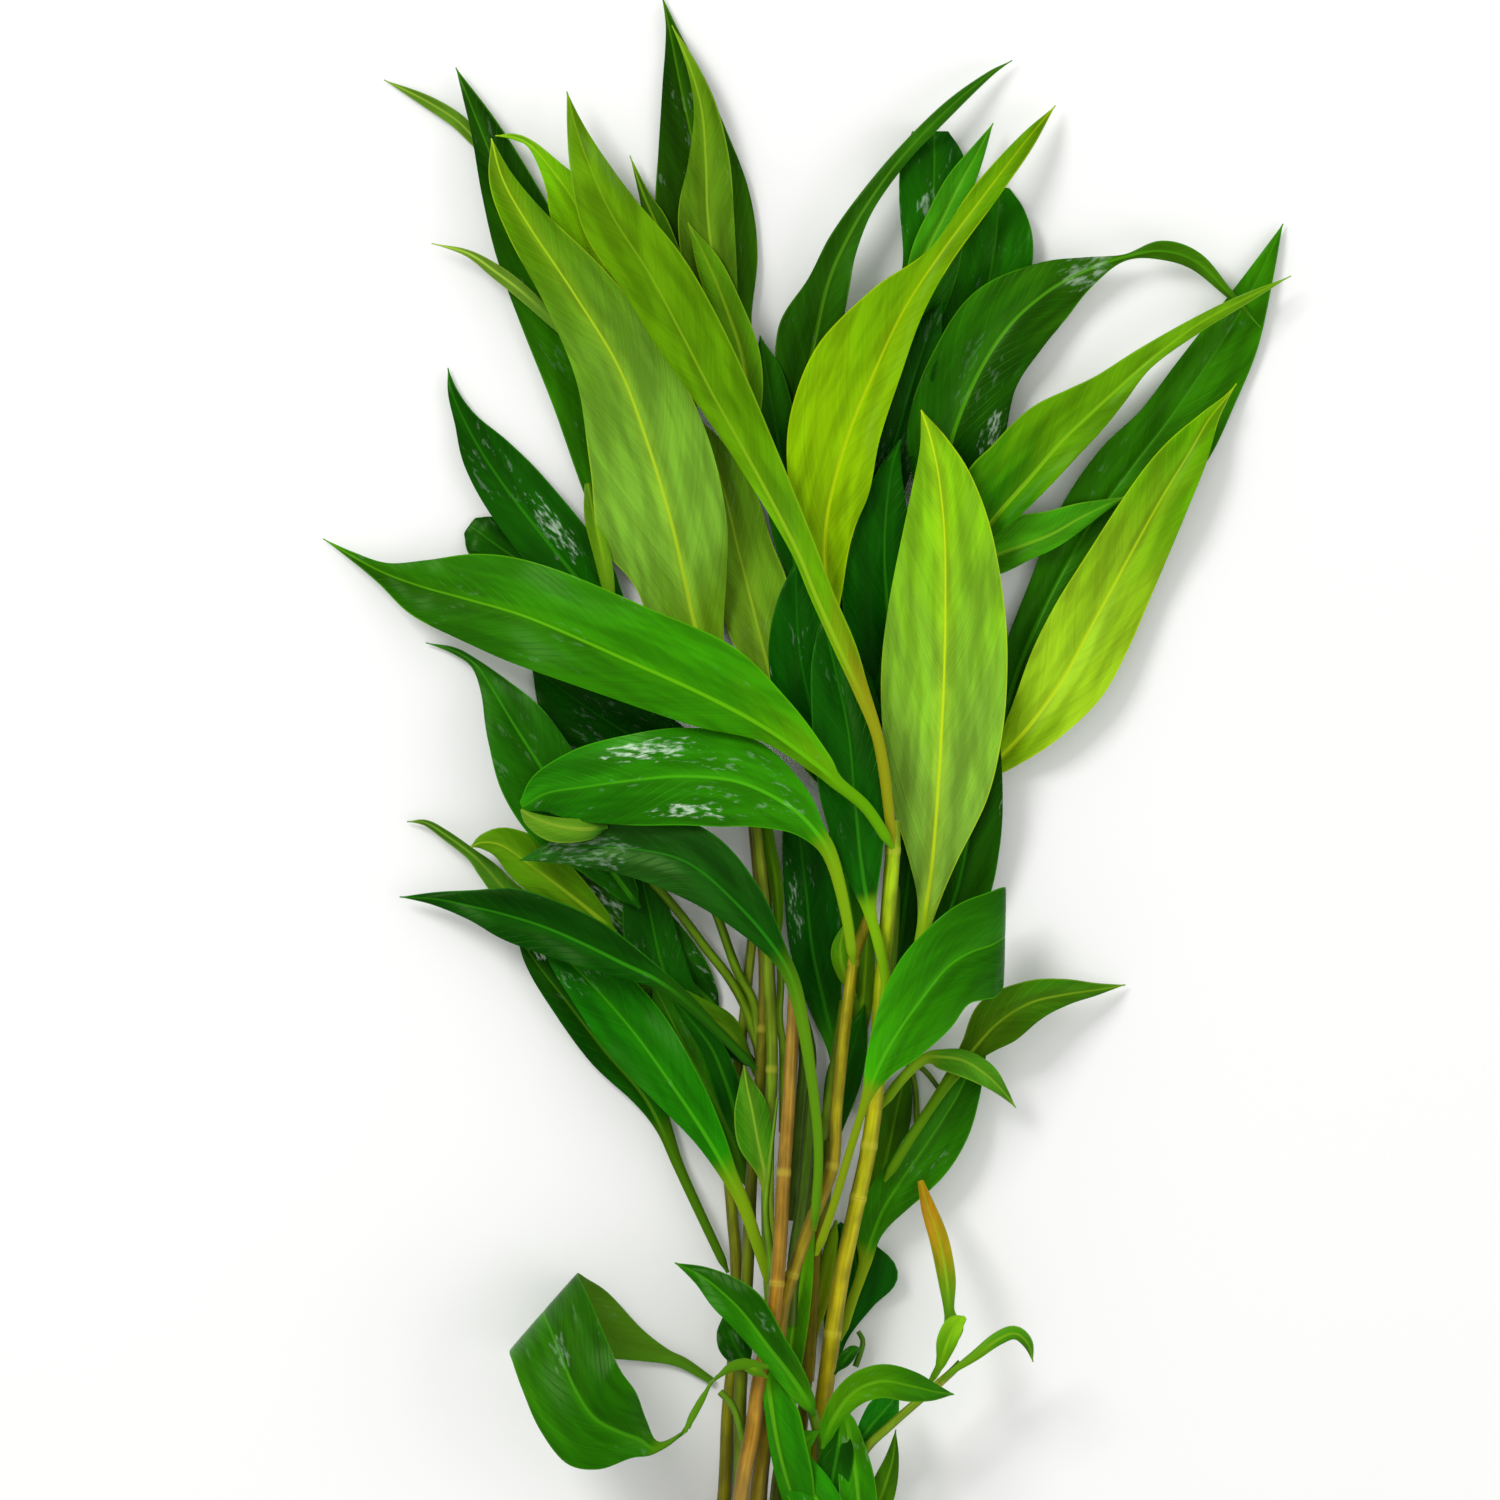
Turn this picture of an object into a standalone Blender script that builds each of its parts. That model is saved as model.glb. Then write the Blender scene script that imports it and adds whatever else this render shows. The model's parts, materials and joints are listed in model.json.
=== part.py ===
"""A cut bunch of temple plant, lying on a surface, with its cut ends towards -Y.

Run it with blender --background --python part.py. Lengths are in millimetres until the
objects are made, which are in metres. The origin is under the middle of the bunch.
"""
import math

import bpy

import numpy as np

# Driving dimensions, in millimetres. Places are measured to the right and up from the
# lower left corner of a 375 mm square that the bunch fills.
MM = 0.001
CELL = 1.0
SHEET_X = (60.0, 345.0)
SHEET_Y = (-60.0, 390.0)
CLEARANCE = 0.9
BLADE_THICKNESS = 0.6
STALK_THICKNESS = 1.8
STALK_HALF_WIDTH = 1.2
NARROWEST = 0.5
LEAF_BEND = 0.0035
STEM_BEND = 0.0008
EASE = 5.0
EXTRA_ROWS = 4
SAMPLE_STEP = 0.45
STEM_SAMPLES = 9


def curve_points(points, count):
    """Evenly spaced places on a smooth curve through the given points, by Catmull-Rom."""
    points = np.array(points, float)
    ends = np.vstack([2 * points[0] - points[1], points, 2 * points[-1] - points[-2]])
    dense = []
    for start in range(len(points) - 1):
        a, b, c, d = ends[start:start + 4]
        t = np.linspace(0, 1, 24, endpoint=False)[:, None]
        bent = 2 * a - 5 * b + 4 * c - d + t * (3 * (b - c) + d - a)
        dense.append(b + 0.5 * t * (c - a + t * bent))
    dense = np.vstack(dense + [points[-1:]])
    steps = np.linalg.norm(np.diff(dense[:, :3], axis=0), axis=1)
    along = np.concatenate([[0], np.cumsum(steps)])
    wanted = np.linspace(0, along[-1], count)
    found = [np.interp(wanted, along, dense[:, k]) for k in range(dense.shape[1])]
    return np.column_stack(found), wanted


# Leaves: name, then from the stalk's foot to the tip (right, up, rise, left and right width as
# seen from above), then how steeply the left and right halves climb towards their margins.
# Ribbons are leaves that fold back over themselves: the left margin's and the right margin's
# (right, up) and the rise, from the stalk's foot to the tip.
# Stems: name, route from the cut end up, radius at the cut end and at the top.
# The list runs from the back of the bunch to its front: each piece lies on those before it.
PIECES = [
    ("leaf", "leaf_thin_pale_top_left",
     [(148, 306, 0, 1, 1), (136, 321, 1, 1, 1), (128, 331, 1, 1.2, 1.2), (119.5, 339.5, 2, 1.7, 1.7),
      (114, 345, 2, 1.9, 1.9), (106, 350, 1, 1.5, 1.5), (96, 355, 0, 0, 0)], (0.3, 0.9)),
    ("leaf", "leaf_broad_dark_top_left",
     [(156, 236, 0, 1.2, 1.2), (152, 250, 1, 5, 5), (146, 277, 3, 8.5, 8), (139, 296, 4, 9, 9),
      (132, 313, 4, 8.2, 9.5), (126, 328, 3, 5.8, 7.5), (120, 343, 2, 2.4, 4.5), (114, 358, 0, 0, 0)],
     (0.25, 0.1)),
    ("leaf", "leaf_lower_pale_left",
     [(150, 284, 0, 1, 1), (138, 295, 1, 1.6, 1.6), (131, 301.5, 2, 1.9, 1.9),
      (124.5, 306.5, 2, 1.7, 1.9), (117, 311.5, 1, 0.9, 0.9), (108, 314, 0, 0, 0)], (0.2, 0.8)),
    ("leaf", "leaf_small_round_left",
     [(150, 222, 0, 1.2, 1.2), (138, 229, 2, 4, 4), (128, 236, 3, 6, 6), (121, 241, 3, 6, 5.5),
      (117.5, 243.5, 1, 2.5, 2.5)], (0.1, -0.2)),
    ("leaf", "leaf_dark_left",
     [(158, 214, 0, 1.2, 1.2), (150, 223, 2, 6, 7), (143, 232, 3, 7.5, 9.5), (129, 249.5, 4, 7, 9.4),
      (121, 261, 3, 5.5, 7), (116, 270, 2, 2.5, 3.2), (113, 277, 1, 1, 1.5), (112, 283, 0, 0, 0)],
     (0.3, 0.1)),
    ("leaf", "leaf_dark_top_centre",
     [(184, 266, 0, 1.2, 1.2), (182, 280, 1, 6, 6), (180, 295, 3, 9, 8), (178, 310, 4, 11.5, 11.5),
      (176, 325, 4, 12.3, 11.5), (173, 340, 3, 8.5, 9), (170, 354, 2, 4.5, 6), (167.5, 367, 1, 1, 2.2),
      (165.5, 376, 0, 0, 0)], (0.1, 0.1)),
    ("leaf", "leaf_spike_top_centre",
     [(178, 284, 0, 1, 1), (170, 303, 1, 3, 3), (164.5, 318, 2, 3, 3), (161, 326, 1, 1.2, 1.6),
      (157.5, 336, 0, 0, 0)], (0.2, 0.4)),
    ("leaf", "leaf_glossy_top_centre",
     [(182, 278, 0, 1.2, 1.2), (180.5, 290, 1, 5, 4), (178.8, 305, 3, 7.5, 5.5), (177, 321, 4, 7.5, 6.5),
      (176.5, 334, 4, 4.5, 6), (175.5, 347, 3, 2, 4), (172.5, 358, 2, 0.8, 2), (168, 368.5, 0, 0, 0)],
     (0.1, 0.3)),
    ("leaf", "leaf_broad_dark_back_right",
     [(232, 262, 0, 1.2, 1.2), (238, 278, 2, 7, 7), (245, 296, 3, 9, 9.5), (248.5, 312, 4, 9, 9.8),
      (249.5, 322, 3, 6.5, 7), (250, 328, 1, 2.5, 2.5)], (0.1, 0.1)),
    ("leaf", "leaf_round_top_right",
     [(222, 276, 0, 1.2, 1.2), (227, 292, 2, 5, 6), (231, 308, 4, 5.5, 8.5), (233, 324, 6, 8.3, 8.5),
      (233.5, 335, 6, 8.3, 7.5), (233.5, 342, 3, 5.5, 3.5)], (0.1, -0.2)),
    ("leaf", "leaf_narrow_top_right",
     [(226, 298, 0, 1, 1), (231, 311, 1, 3.5, 3.5), (236, 321, 2, 4, 4), (240, 329, 3, 3.6, 3.6),
      (244, 336, 2, 2.2, 2), (248.2, 344, 0, 0, 0)], (0.3, 0.3)),
    ("leaf", "leaf_long_narrow_top_right",
     [(199, 262, 0, 1.2, 1.2), (201, 276, 2, 7, 6), (204, 291.5, 4, 9.5, 6), (207, 304, 5, 5, 5.5),
      (211, 313.5, 5, 4.2, 3.5), (217, 324, 5, 3, 2), (226, 336, 4, 2.2, 1.8), (237, 347.5, 3, 1.8, 1.8),
      (247, 356, 1, 0.8, 0.8), (253, 359.8, 0, 0, 0)], (0.2, 0.7)),
    ("leaf", "leaf_broad_dark_right",
     [(247, 176, 0, 1.2, 1.2), (250, 190, 1, 3, 3), (254, 206, 2, 5, 5), (262, 225, 3, 6, 7),
      (272, 243, 4, 8.5, 11), (282, 257, 5, 9, 13), (290.5, 268, 5, 7, 14), (299, 280, 5, 6.5, 11.5),
      (307, 292, 4, 5.5, 8.5), (315, 306.5, 2, 3, 3.5), (320.7, 319, 0, 0, 0)], (0.3, 0.05)),
    ("leaf", "leaf_small_pointed_right",
     [(238, 230, 0, 1.2, 1.2), (248, 235.5, 2, 7, 4.5), (256, 238.7, 3, 7.5, 4), (263, 241.5, 3, 6, 3.5),
      (271, 246, 2, 3.5, 2.5), (281.2, 250.8, 0, 0, 0)], (0.2, 0.3)),
    ("leaf", "leaf_twisted_dark_right",
     [(232, 244, 0, 1.2, 1.2), (236, 257, 1, 9, 10), (239, 268.8, 3, 12, 12.5), (245, 282.5, 5, 12.5, 10),
      (252.5, 293.8, 7, 12, 10), (262.5, 302.5, 8, 7.5, 8), (272, 307.5, 8, 3.2, 4),
      (281, 310.5, 7, 0.7, 1), (290, 312, 6, 2.6, 2.2), (298.5, 309.5, 4, 2.4, 2.2),
      (306.5, 302, 2, 1.2, 1.2), (315, 293, 0, 0, 0)], (0.25, 0.05)),
    ("leaf", "leaf_light_pointed_right",
     [(243, 238, 0, 1.2, 1.2), (250, 247, 2, 12, 4), (257.5, 255.5, 3, 12.5, 5),
      (265, 264.3, 4, 11.5, 5.5), (272, 271, 5, 8.5, 5), (278, 276.5, 5, 6, 3.8), (287, 284.5, 5, 4, 1.6),
      (299, 293.5, 3, 2, 2), (310, 299.5, 2, 1.4, 1.4), (322.5, 305.8, 0, 0, 0)], (0.15, 0.5)),
    ("leaf", "leaf_bright_right",
     [(232, 173, 0, 1.2, 1.2), (243, 180, 1, 1.4, 1.6), (250.5, 186, 3, 3, 4), (258, 194.5, 5, 6.5, 7.5),
      (266, 206, 7, 10, 10.6), (272.5, 218, 8, 10.5, 10.8), (279, 230, 8, 9.7, 9.6),
      (290, 250, 7, 8, 7.2), (297, 261.5, 5, 6, 5), (302, 270, 3, 2.5, 2.5), (306, 275, 2, 0.8, 0.8),
      (309, 279, 0, 0, 0)], (0.2, 0.2)),
    ("leaf", "leaf_dark_behind_centre",
     [(224, 198, 0, 1.2, 1.2), (223, 212, 1, 9, 6), (221.5, 226, 2, 11, 8), (221, 240, 3, 8, 7),
      (222.5, 256, 2, 3.5, 3), (225, 265, 0, 0, 0)], (0.1, 0.1)),
    ("leaf", "leaf_yellow_green_right",
     [(214, 178, 0, 1.2, 1.2), (208, 210, 1, 1.2, 1.2), (206.5, 230, 2, 3, 4.5), (206.5, 243, 3, 6.5, 7),
      (208.5, 254, 4, 12, 9), (212.5, 267.5, 6, 15.5, 7.8), (218.8, 282.5, 8, 15.5, 6.5),
      (226, 297.5, 9, 9.5, 4.8), (234.5, 310.5, 9, 3, 3.5), (246, 326, 7, 3.4, 3.2),
      (256, 339, 4, 2, 2.4), (263.8, 348.5, 0, 0, 0)], (0.1, 0.5)),
    ("leaf", "leaf_glossy_strip_centre",
     [(204, 180, 0, 1.2, 1.2), (197, 193, 1, 1.3, 1.3), (193, 205, 2, 3, 3), (190, 216, 3, 7, 6.5),
      (187.5, 226, 4, 8, 9.8), (184.5, 238, 4, 8.5, 8.5), (181.8, 249.5, 4, 8, 7.5), (178, 262, 2, 4, 4),
      (175, 270, 0, 0, 0)], (0.1, 0.15)),
    ("leaf", "leaf_bright_curled_left",
     [(176, 256, 0, 1.2, 1.2), (168, 275, 2, 6, 6), (160, 292, 5, 7.5, 8.5), (151, 308, 7, 8, 9),
      (144, 323.5, 8, 7, 5.5), (138.5, 331.5, 7, 3.2, 3), (133, 338, 5, 0.8, 1.4),
      (128.5, 340.3, 3, 0.6, 1), (124, 340.8, 1, 0, 0)], (0.15, 0.15)),
    ("leaf", "leaf_large_pale_left",
     [(186, 190, 0, 1.3, 1.3), (178, 206, 2, 5, 4), (174, 218, 4, 10.3, 7.2), (171, 231, 6, 12.5, 11),
      (168, 244, 8, 18.5, 13.8), (162.5, 262.5, 10, 15.6, 14.7), (155, 282.5, 11, 11.4, 12.5),
      (143.8, 301, 10, 7.8, 9.7), (132.5, 318, 7, 5.8, 5.3), (126, 329.5, 4, 3.6, 2.8),
      (123, 340, 0, 0, 0)], (-0.1, 0.15)),
    ("leaf", "leaf_hanging_glossy_centre",
     [(209.5, 100, 0, 1.2, 1.2), (208.5, 112, 1, 1.5, 1.5), (206, 124, 2, 4, 4.5),
      (203, 138, 4, 5.5, 7.3), (201.5, 152, 5, 5.5, 7.8), (200, 165, 4, 4.5, 4.5), (198, 176, 1, 2, 2),
      (196, 184, 0, 0, 0)], (0.3, 0.1)),
    ("leaf", "leaf_dark_right_middle",
     [(224, 118, 0, 1.2, 1.2), (232, 135, 1, 5, 5), (238.5, 150, 3, 7, 8), (242, 165, 4, 8, 8),
      (244, 180, 4, 7, 6.5), (245, 195, 2, 4, 4), (245, 205, 0, 0, 0)], (0.1, 0.1)),
    ("stem", "stem_left",
     [(177, -44), (181, 0), (182, 22), (184, 42), (184, 60), (183, 72), (182, 90), (185, 112), (188, 140)],
     1.9, 1.2),
    ("leaf", "leaf_dark_upright_left",
     [(190, 108, 0, 1.2, 1.2), (179, 116, 1, 3, 3), (170.5, 124, 2, 6, 5), (165.5, 134, 3, 8, 6),
      (162.5, 147, 3, 7, 5), (160, 158, 2, 3.5, 3.5), (158.5, 165, 0, 0, 0)], (0.1, 0.1)),
    ("leaf", "leaf_thin_curled_left",
     [(148, 138, 0, 1.2, 1.2), (136, 146, 1, 2.5, 2.5), (127, 152, 2, 3, 3), (122, 157.5, 3, 2.6, 2.4),
      (118, 161.5, 4, 1.6, 1.4), (111.5, 166.3, 4, 1.3, 1.2), (106.5, 169.3, 2, 0.8, 0.8),
      (101.8, 169.6, 0, 0, 0)], (0.2, 0.5)),
    ("leaf", "leaf_olive_left",
     [(154, 142, 0, 1.2, 1.2), (143, 151, 1, 5, 5), (133, 158.5, 3, 5.5, 7), (126, 163.5, 3, 3.5, 5),
      (121, 164.5, 2, 1.8, 2.2), (117.8, 163.3, 0, 0, 0)], (0.2, 0.1)),
    ("leaf", "leaf_dark_folded_left",
     [(160, 148, 0, 1.2, 1.2), (151, 160, 1, 6, 6), (143, 171, 3, 11, 9), (135.5, 183, 5, 11.5, 9),
      (128.5, 194, 5, 7.5, 8), (123, 203, 4, 3, 4.2), (119, 208.8, 3, 1.2, 1.4),
      (113.5, 212.3, 1, 0.8, 0.9), (106.5, 214.3, 0, 0, 0)], (0.2, 0.2)),
    ("leaf", "leaf_olive_low_left",
     [(190, 104, 0, 1, 1), (187, 111, 1, 1, 1), (181.5, 118, 2, 3.5, 3.5), (174, 122.5, 3, 5, 3.5),
      (165, 128, 3, 4, 2.5), (157, 132.5, 2, 1.5, 1.5), (150, 136, 0, 0, 0)], (0.2, 0.2)),
    ("leaf", "leaf_back_low_left",
     [(182, 57, 0, 1.1, 1.1), (174, 74, 1, 1.2, 1.3), (169.3, 84, 1, 1.2, 1.6), (165.3, 93, 2, 1.4, 2.8),
      (160.5, 101.5, 3, 3, 5), (151, 112.5, 4, 4.5, 6.5), (141, 125.5, 5, 4, 5.5),
      (134, 134.5, 4, 2.6, 3.5), (129, 142, 0, 0, 0)], (0.3, -0.1)),
    ("stem", "stem_left_inner",
     [(183, -45), (185, 0), (185, 24), (186, 42), (187, 60), (188, 83), (190, 105), (191, 130),
      (190, 150), (188, 172)], 1.8, 1.3),
    ("stem", "stem_centre",
     [(189, -46), (190, 0), (192, 20), (193, 42), (192, 65), (192, 88), (193, 111), (192, 133),
      (191, 150), (188, 178)], 1.9, 1.3),
    ("leaf", "leaf_pale_small_low",
     [(193.5, 64, 0, 0.9, 0.9), (192.3, 74, 1, 1, 1), (191.2, 82, 1, 2, 2.2), (189.5, 90, 2, 5, 3.5),
      (188, 98, 3, 4.5, 4), (186.7, 104, 2, 2, 2.2), (186, 109, 0, 0, 0)], (0.2, 0.2)),
    ("leaf", "leaf_bright_low_left",
     [(193, 53, 0, 1.3, 1.3), (190.5, 61, 1, 1.4, 1.4), (186, 74, 2, 1.6, 1.8), (182, 82, 3, 2, 2.4),
      (176.5, 91.5, 4, 3.2, 4.6), (169.5, 102, 5, 5.5, 6.8), (159, 116.5, 6, 8.3, 8.6),
      (148.5, 128.5, 6, 6.5, 8), (139.5, 137.5, 4, 3.5, 4), (134, 143, 0, 0, 0)], (0.2, 0.15)),
    ("leaf", "leaf_dark_pointed_low_left",
     [(189, 108, 0, 1.2, 1.2), (180, 117, 1, 1.2, 1.3), (171, 125.5, 3, 1.6, 2), (164, 130.5, 4, 2.2, 3),
      (156, 134.3, 5, 3.6, 5.3), (146.5, 139, 6, 5.6, 7), (136.5, 143.3, 6, 6.6, 7.2),
      (127, 146.3, 5, 6, 7), (118, 148.5, 4, 3.4, 4.2), (109, 150.3, 2, 1.6, 1.8), (100, 150.8, 0, 0, 0)],
     (0.2, 0.1)),
    ("leaf", "leaf_dark_folded_behind_low",
     [(208, 30, 0, 1.2, 1.2), (210, 40, 1, 4, 1.6), (212.5, 50, 2, 7, 6), (214, 57, 3, 8, 10.5),
      (213.5, 62, 3, 7, 6), (211.5, 67, 2, 4.5, 1.5), (210, 69, 0, 1, 0.5)], (0.1, 0.1)),
    ("leaf", "leaf_long_hanging_right",
     [(210, 40, 0, 1.2, 1.2), (213, 50, 1, 1.3, 1.3), (216, 59, 2, 1.6, 1.6), (218.5, 67, 3, 5, 2),
      (222, 75, 5, 5.5, 5), (229.5, 86, 7, 5.6, 8), (235.5, 95, 8, 5.6, 7.6), (240, 102.5, 7, 5.2, 5.2),
      (244.5, 113.5, 4, 2.6, 2.2), (247, 122.5, 0, 0, 0)], (0.25, 0.1)),
    ("leaf", "leaf_olive_pointed_right",
     [(221, 80, 0, 1.2, 1.2), (229, 93, 1, 1.2, 1.2), (237, 105, 1, 1.6, 1.6), (243, 112.5, 2, 3.5, 3),
      (249.5, 119.5, 4, 7, 6), (257.5, 124.5, 5, 5.6, 5), (266, 126.5, 5, 4, 2.8),
      (274, 127.6, 3, 1.8, 1.3), (281.3, 128.8, 0, 0, 0)], (0.2, 0.2)),
    ("leaf", "leaf_small_folded_right",
     [(220, 98, 0, 1.3, 1.3), (225, 105, 1, 1.3, 1.3), (231, 110.5, 3, 1.3, 1.4), (235.5, 111, 5, 2, 3.3),
      (241, 110, 6, 2.8, 4), (246.5, 106.5, 5, 2.8, 3), (250.5, 102.5, 3, 1.3, 1.5),
      (253.8, 98.3, 0, 0, 0)], (0.3, 0.2)),
    ("stem", "stem_middle",
     [(184, -48), (189, 0), (191, 15), (194, 35), (196, 50), (199, 60), (203, 71), (208, 84), (209, 98),
      (211, 117), (213, 133), (214.6, 139), (217, 146)], 2.0, 1.4),
    ("stem", "stem_front_tan",
     [(181, -49), (185, 0), (188, 18), (190, 32), (193, 45), (194, 53), (195, 65), (196, 84), (197, 98),
      (198, 116), (198.6, 127.5)], 2.1, 1.6),
    ("leaf", "leaf_grey_sheen_left",
     [(203.5, 68, 0, 1.2, 1.2), (204.5, 88, 1, 1.2, 1.2), (202.5, 108, 2, 1.4, 1.4),
      (199, 127, 3, 1.8, 1.8), (194.5, 137, 4, 2.5, 2.5), (184.5, 149, 6, 5.5, 7),
      (172, 159.5, 7, 8.5, 9.5), (158, 163, 7, 7, 8), (145, 163, 5, 4.5, 5), (136, 161.5, 3, 2, 2),
      (130, 160, 0, 0, 0)], (0.1, 0.1)),
    ("leaf", "leaf_large_central",
     [(218, 98, 0, 1.3, 1.3), (224, 118, 1, 1.3, 1.3), (229.5, 138, 3, 1.4, 1.5), (231.5, 149, 4, 2.2, 3),
      (233, 160, 6, 6, 6), (234.3, 176, 8, 12, 12.3), (235.2, 191, 10, 14.6, 15),
      (235.9, 206, 11, 15.7, 15.7), (236.2, 222, 11, 14.4, 14.9), (236, 240, 10, 10.9, 12),
      (234.7, 254, 8, 6.8, 8.3), (232.8, 264, 5, 3, 4), (230.2, 272.3, 0, 0, 0)], (-0.05, 0.05)),
    ("stem", "stem_right_yellow",
     [(202, -48), (204, 0), (205, 18), (207, 34), (210, 55), (214, 74), (217, 88), (219, 104), (220, 124),
      (222, 148), (223, 162), (223, 170)], 2.3, 1.9),
    ("leaf", "leaf_dark_upright_centre",
     [(218.4, 111, 0, 1.3, 1.3), (220.4, 121, 1, 1.3, 1.3), (221.3, 130, 2, 1.3, 1.3),
      (219.6, 138.5, 3, 1.3, 1.4), (217, 148, 3, 1.6, 2), (215, 161, 3, 5.5, 5.5),
      (213.5, 176, 4, 8.5, 8), (212, 192, 4, 9, 6.5), (208.5, 208.5, 3, 6, 3), (206.5, 217, 2, 2.5, 1.2),
      (205.5, 223.8, 0, 0, 0)], (0.15, 0.15)),
    ("leaf", "leaf_long_bright_centre",
     [(223, 163, 0, 1.2, 1.2), (221, 181, 1, 1.4, 1.4), (218.8, 192, 2, 1.4, 1.5),
      (214.5, 202.5, 3, 1.4, 2.6), (209.8, 212.5, 5, 1.4, 4.2), (204, 225.5, 7, 1.4, 4.4),
      (198.5, 238.5, 9, 1.6, 5), (187.5, 259.5, 11, 3, 7.3), (178.8, 275, 12, 4.5, 9.3),
      (170, 292, 12, 7, 9.9), (162.5, 306, 12, 8, 9.2), (153.5, 320, 10, 8.2, 7.2),
      (147.5, 333, 6, 5, 4.4), (144, 343, 3, 2.2, 2), (141.8, 351.8, 0, 0, 0)], (0.2, 0.3)),
    ("leaf", "leaf_speckled_crossing",
     [(213.3, 134, 0, 1.3, 1.3), (211.3, 147, 2, 1.4, 1.4), (208, 160, 3, 1.8, 1.8),
      (204, 167, 5, 3.2, 2.5), (197, 173.7, 8, 7, 6.5), (185, 179.5, 10, 11.5, 11.3),
      (171.5, 181, 11, 12.2, 12), (158.5, 180, 11, 11.3, 11.3), (146, 178.3, 9, 8.8, 9.7),
      (137, 176.8, 6, 5.5, 6), (131, 173.5, 3, 1.2, 1.5)], (-0.1, -0.15)),
    ("leaf", "leaf_large_crossing",
     [(223, 163, 0, 1.3, 1.3), (216.5, 173, 2, 1.5, 1.5), (209, 179.5, 4, 1.8, 1.8),
      (204.5, 183.5, 6, 2.2, 4), (192, 192.5, 9, 3.4, 9), (177, 200.7, 12, 8, 14),
      (156.5, 210, 14, 10.2, 14), (133, 220.2, 14, 12, 13.6), (118, 224.8, 12, 10.2, 12),
      (105.5, 228.3, 9, 7.6, 7), (96, 231.8, 6, 3, 2.6), (88, 236, 3, 1, 1.1), (80.8, 240.3, 0, 0, 0)],
     (0.15, -0.05)),
    ("ribbon", "leaf_dark_broad_right",
     [(202.8, 62, 205.2, 62, 0), (207, 74, 209.5, 75, 1), (211.5, 89, 214, 90, 2),
      (215, 101, 217.6, 100.5, 4), (216.5, 112, 223, 107, 6), (219.5, 124, 229, 111, 8),
      (224.5, 135, 237, 118, 10), (231.5, 143, 241.5, 124, 11), (239, 149, 245.3, 125.3, 11),
      (246.5, 152, 248.5, 126, 10), (251, 153.4, 250.5, 128.5, 7), (249.8, 150.5, 249.6, 130.5, 4),
      (244, 147, 243, 131, 2.4)]),
    ("leaf", "leaf_dark_low_right",
     [(208, 8, 0, 1, 1), (214, 14, 1, 1.3, 1.3), (217.5, 19, 2, 3, 3.3), (221, 23, 3, 4, 4),
      (224, 26.5, 0, 1, 1)], (0.1, 0.1)),
    ("stem", "stem_side_thin",
     [(200, -20), (208, 0), (216, 13), (222, 19), (230, 26), (237, 32), (240, 35)], 1.4, 1.0),
    ("leaf", "leaf_thin_hanging",
     [(231.5, 29, 0, 0.9, 0.9), (234.5, 34, 1, 1, 1), (236.3, 40, 2, 1.3, 2.4),
      (237.3, 44.5, 2, 1.6, 3.4), (237, 48, 2, 1.3, 1.4), (236.4, 56, 3, 2.2, 2.3),
      (234.6, 65.5, 3, 2.4, 2.4), (232, 73, 2, 1.8, 2), (230, 80, 0, 0.8, 0.8)], (0.3, 0.3)),
    ("leaf", "leaf_small_arched",
     [(234.5, 30.5, 0, 0.7, 0.7), (238, 33.3, 1, 0.7, 0.8), (243.5, 37, 2, 1.4, 1.2),
      (249, 41, 3, 1.9, 1.5), (253.3, 42.6, 4, 1.9, 1.5), (256.5, 40, 3, 1.4, 1.2),
      (257.9, 35.3, 0, 0, 0)], (0.2, 0.4)),
    ("stem", "stem_short_cut",
     [(206, 7), (205, 15), (203, 23)], 1.5, 1.3),
    ("leaf", "leaf_low_right",
     [(211, 24, 0, 1.2, 1.2), (212.5, 16, 1, 3, 3), (214, 6, 2, 4.5, 4.5), (215, -5, 3, 4.5, 4.5),
      (216, -15, 2, 3, 3), (217, -25, 0, 0, 0)], (0.2, 0.2)),
    ("leaf", "leaf_low_centre",
     [(204.5, 18, 0, 1.2, 1.2), (200.5, 15, 2, 2.5, 3.5), (199.5, 10, 3, 4, 5), (203, 3, 4, 5.5, 6),
      (208, -5, 3, 5, 5), (213, -13, 2, 2.8, 2.8), (217, -20, 0, 0, 0)], (0.2, 0.2)),
    ("leaf", "leaf_low_left_tip",
     [(203.5, 22, 0, 1.2, 1.2), (201, 27, 2, 2.6, 2.3), (197, 33, 3, 3.4, 3.8), (192, 39.5, 5, 3.5, 4.8),
      (186, 47.5, 6, 4.3, 6.2), (181, 52.5, 5, 4.3, 5), (175.5, 56.8, 3, 2.5, 2.6), (168.8, 60, 0, 0, 0)],
     (0.2, 0.1)),
    ("leaf", "leaf_low_arched_right",
     [(205.5, 14, 0, 1.1, 1.1), (208, 21, 1, 2.8, 2.2), (213, 28, 4, 3.8, 3.6), (220, 31, 6, 4.2, 4.2),
      (227.5, 29.7, 5, 3.7, 4), (233, 28.3, 3, 2, 2.5), (238.2, 27.4, 0, 0, 0)], (0.2, 0.1)),
    ("ribbon", "leaf_looped",
     [(192, 33, 192, 36, 0), (184, 33.6, 184, 36.4, 1), (177, 29.5, 179, 32, 2),
      (172.8, 23.5, 176, 25.5, 2.5), (169.8, 17, 172.4, 20, 3), (163.5, 12.8, 165, 16, 4.5),
      (158, 12, 161.8, 21.5, 8), (150, 9.3, 159.3, 28.3, 11.5), (142, 10.8, 155.6, 33.6, 14),
      (135.4, 19, 153, 39, 15), (131.2, 28.3, 150.2, 45.5, 15), (128.7, 35, 147, 52.5, 14),
      (127.8, 38.2, 144.5, 57.2, 10), (131, 38.6, 147, 55.6, 5), (139, 36.5, 152.2, 51.8, 2.5),
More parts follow.
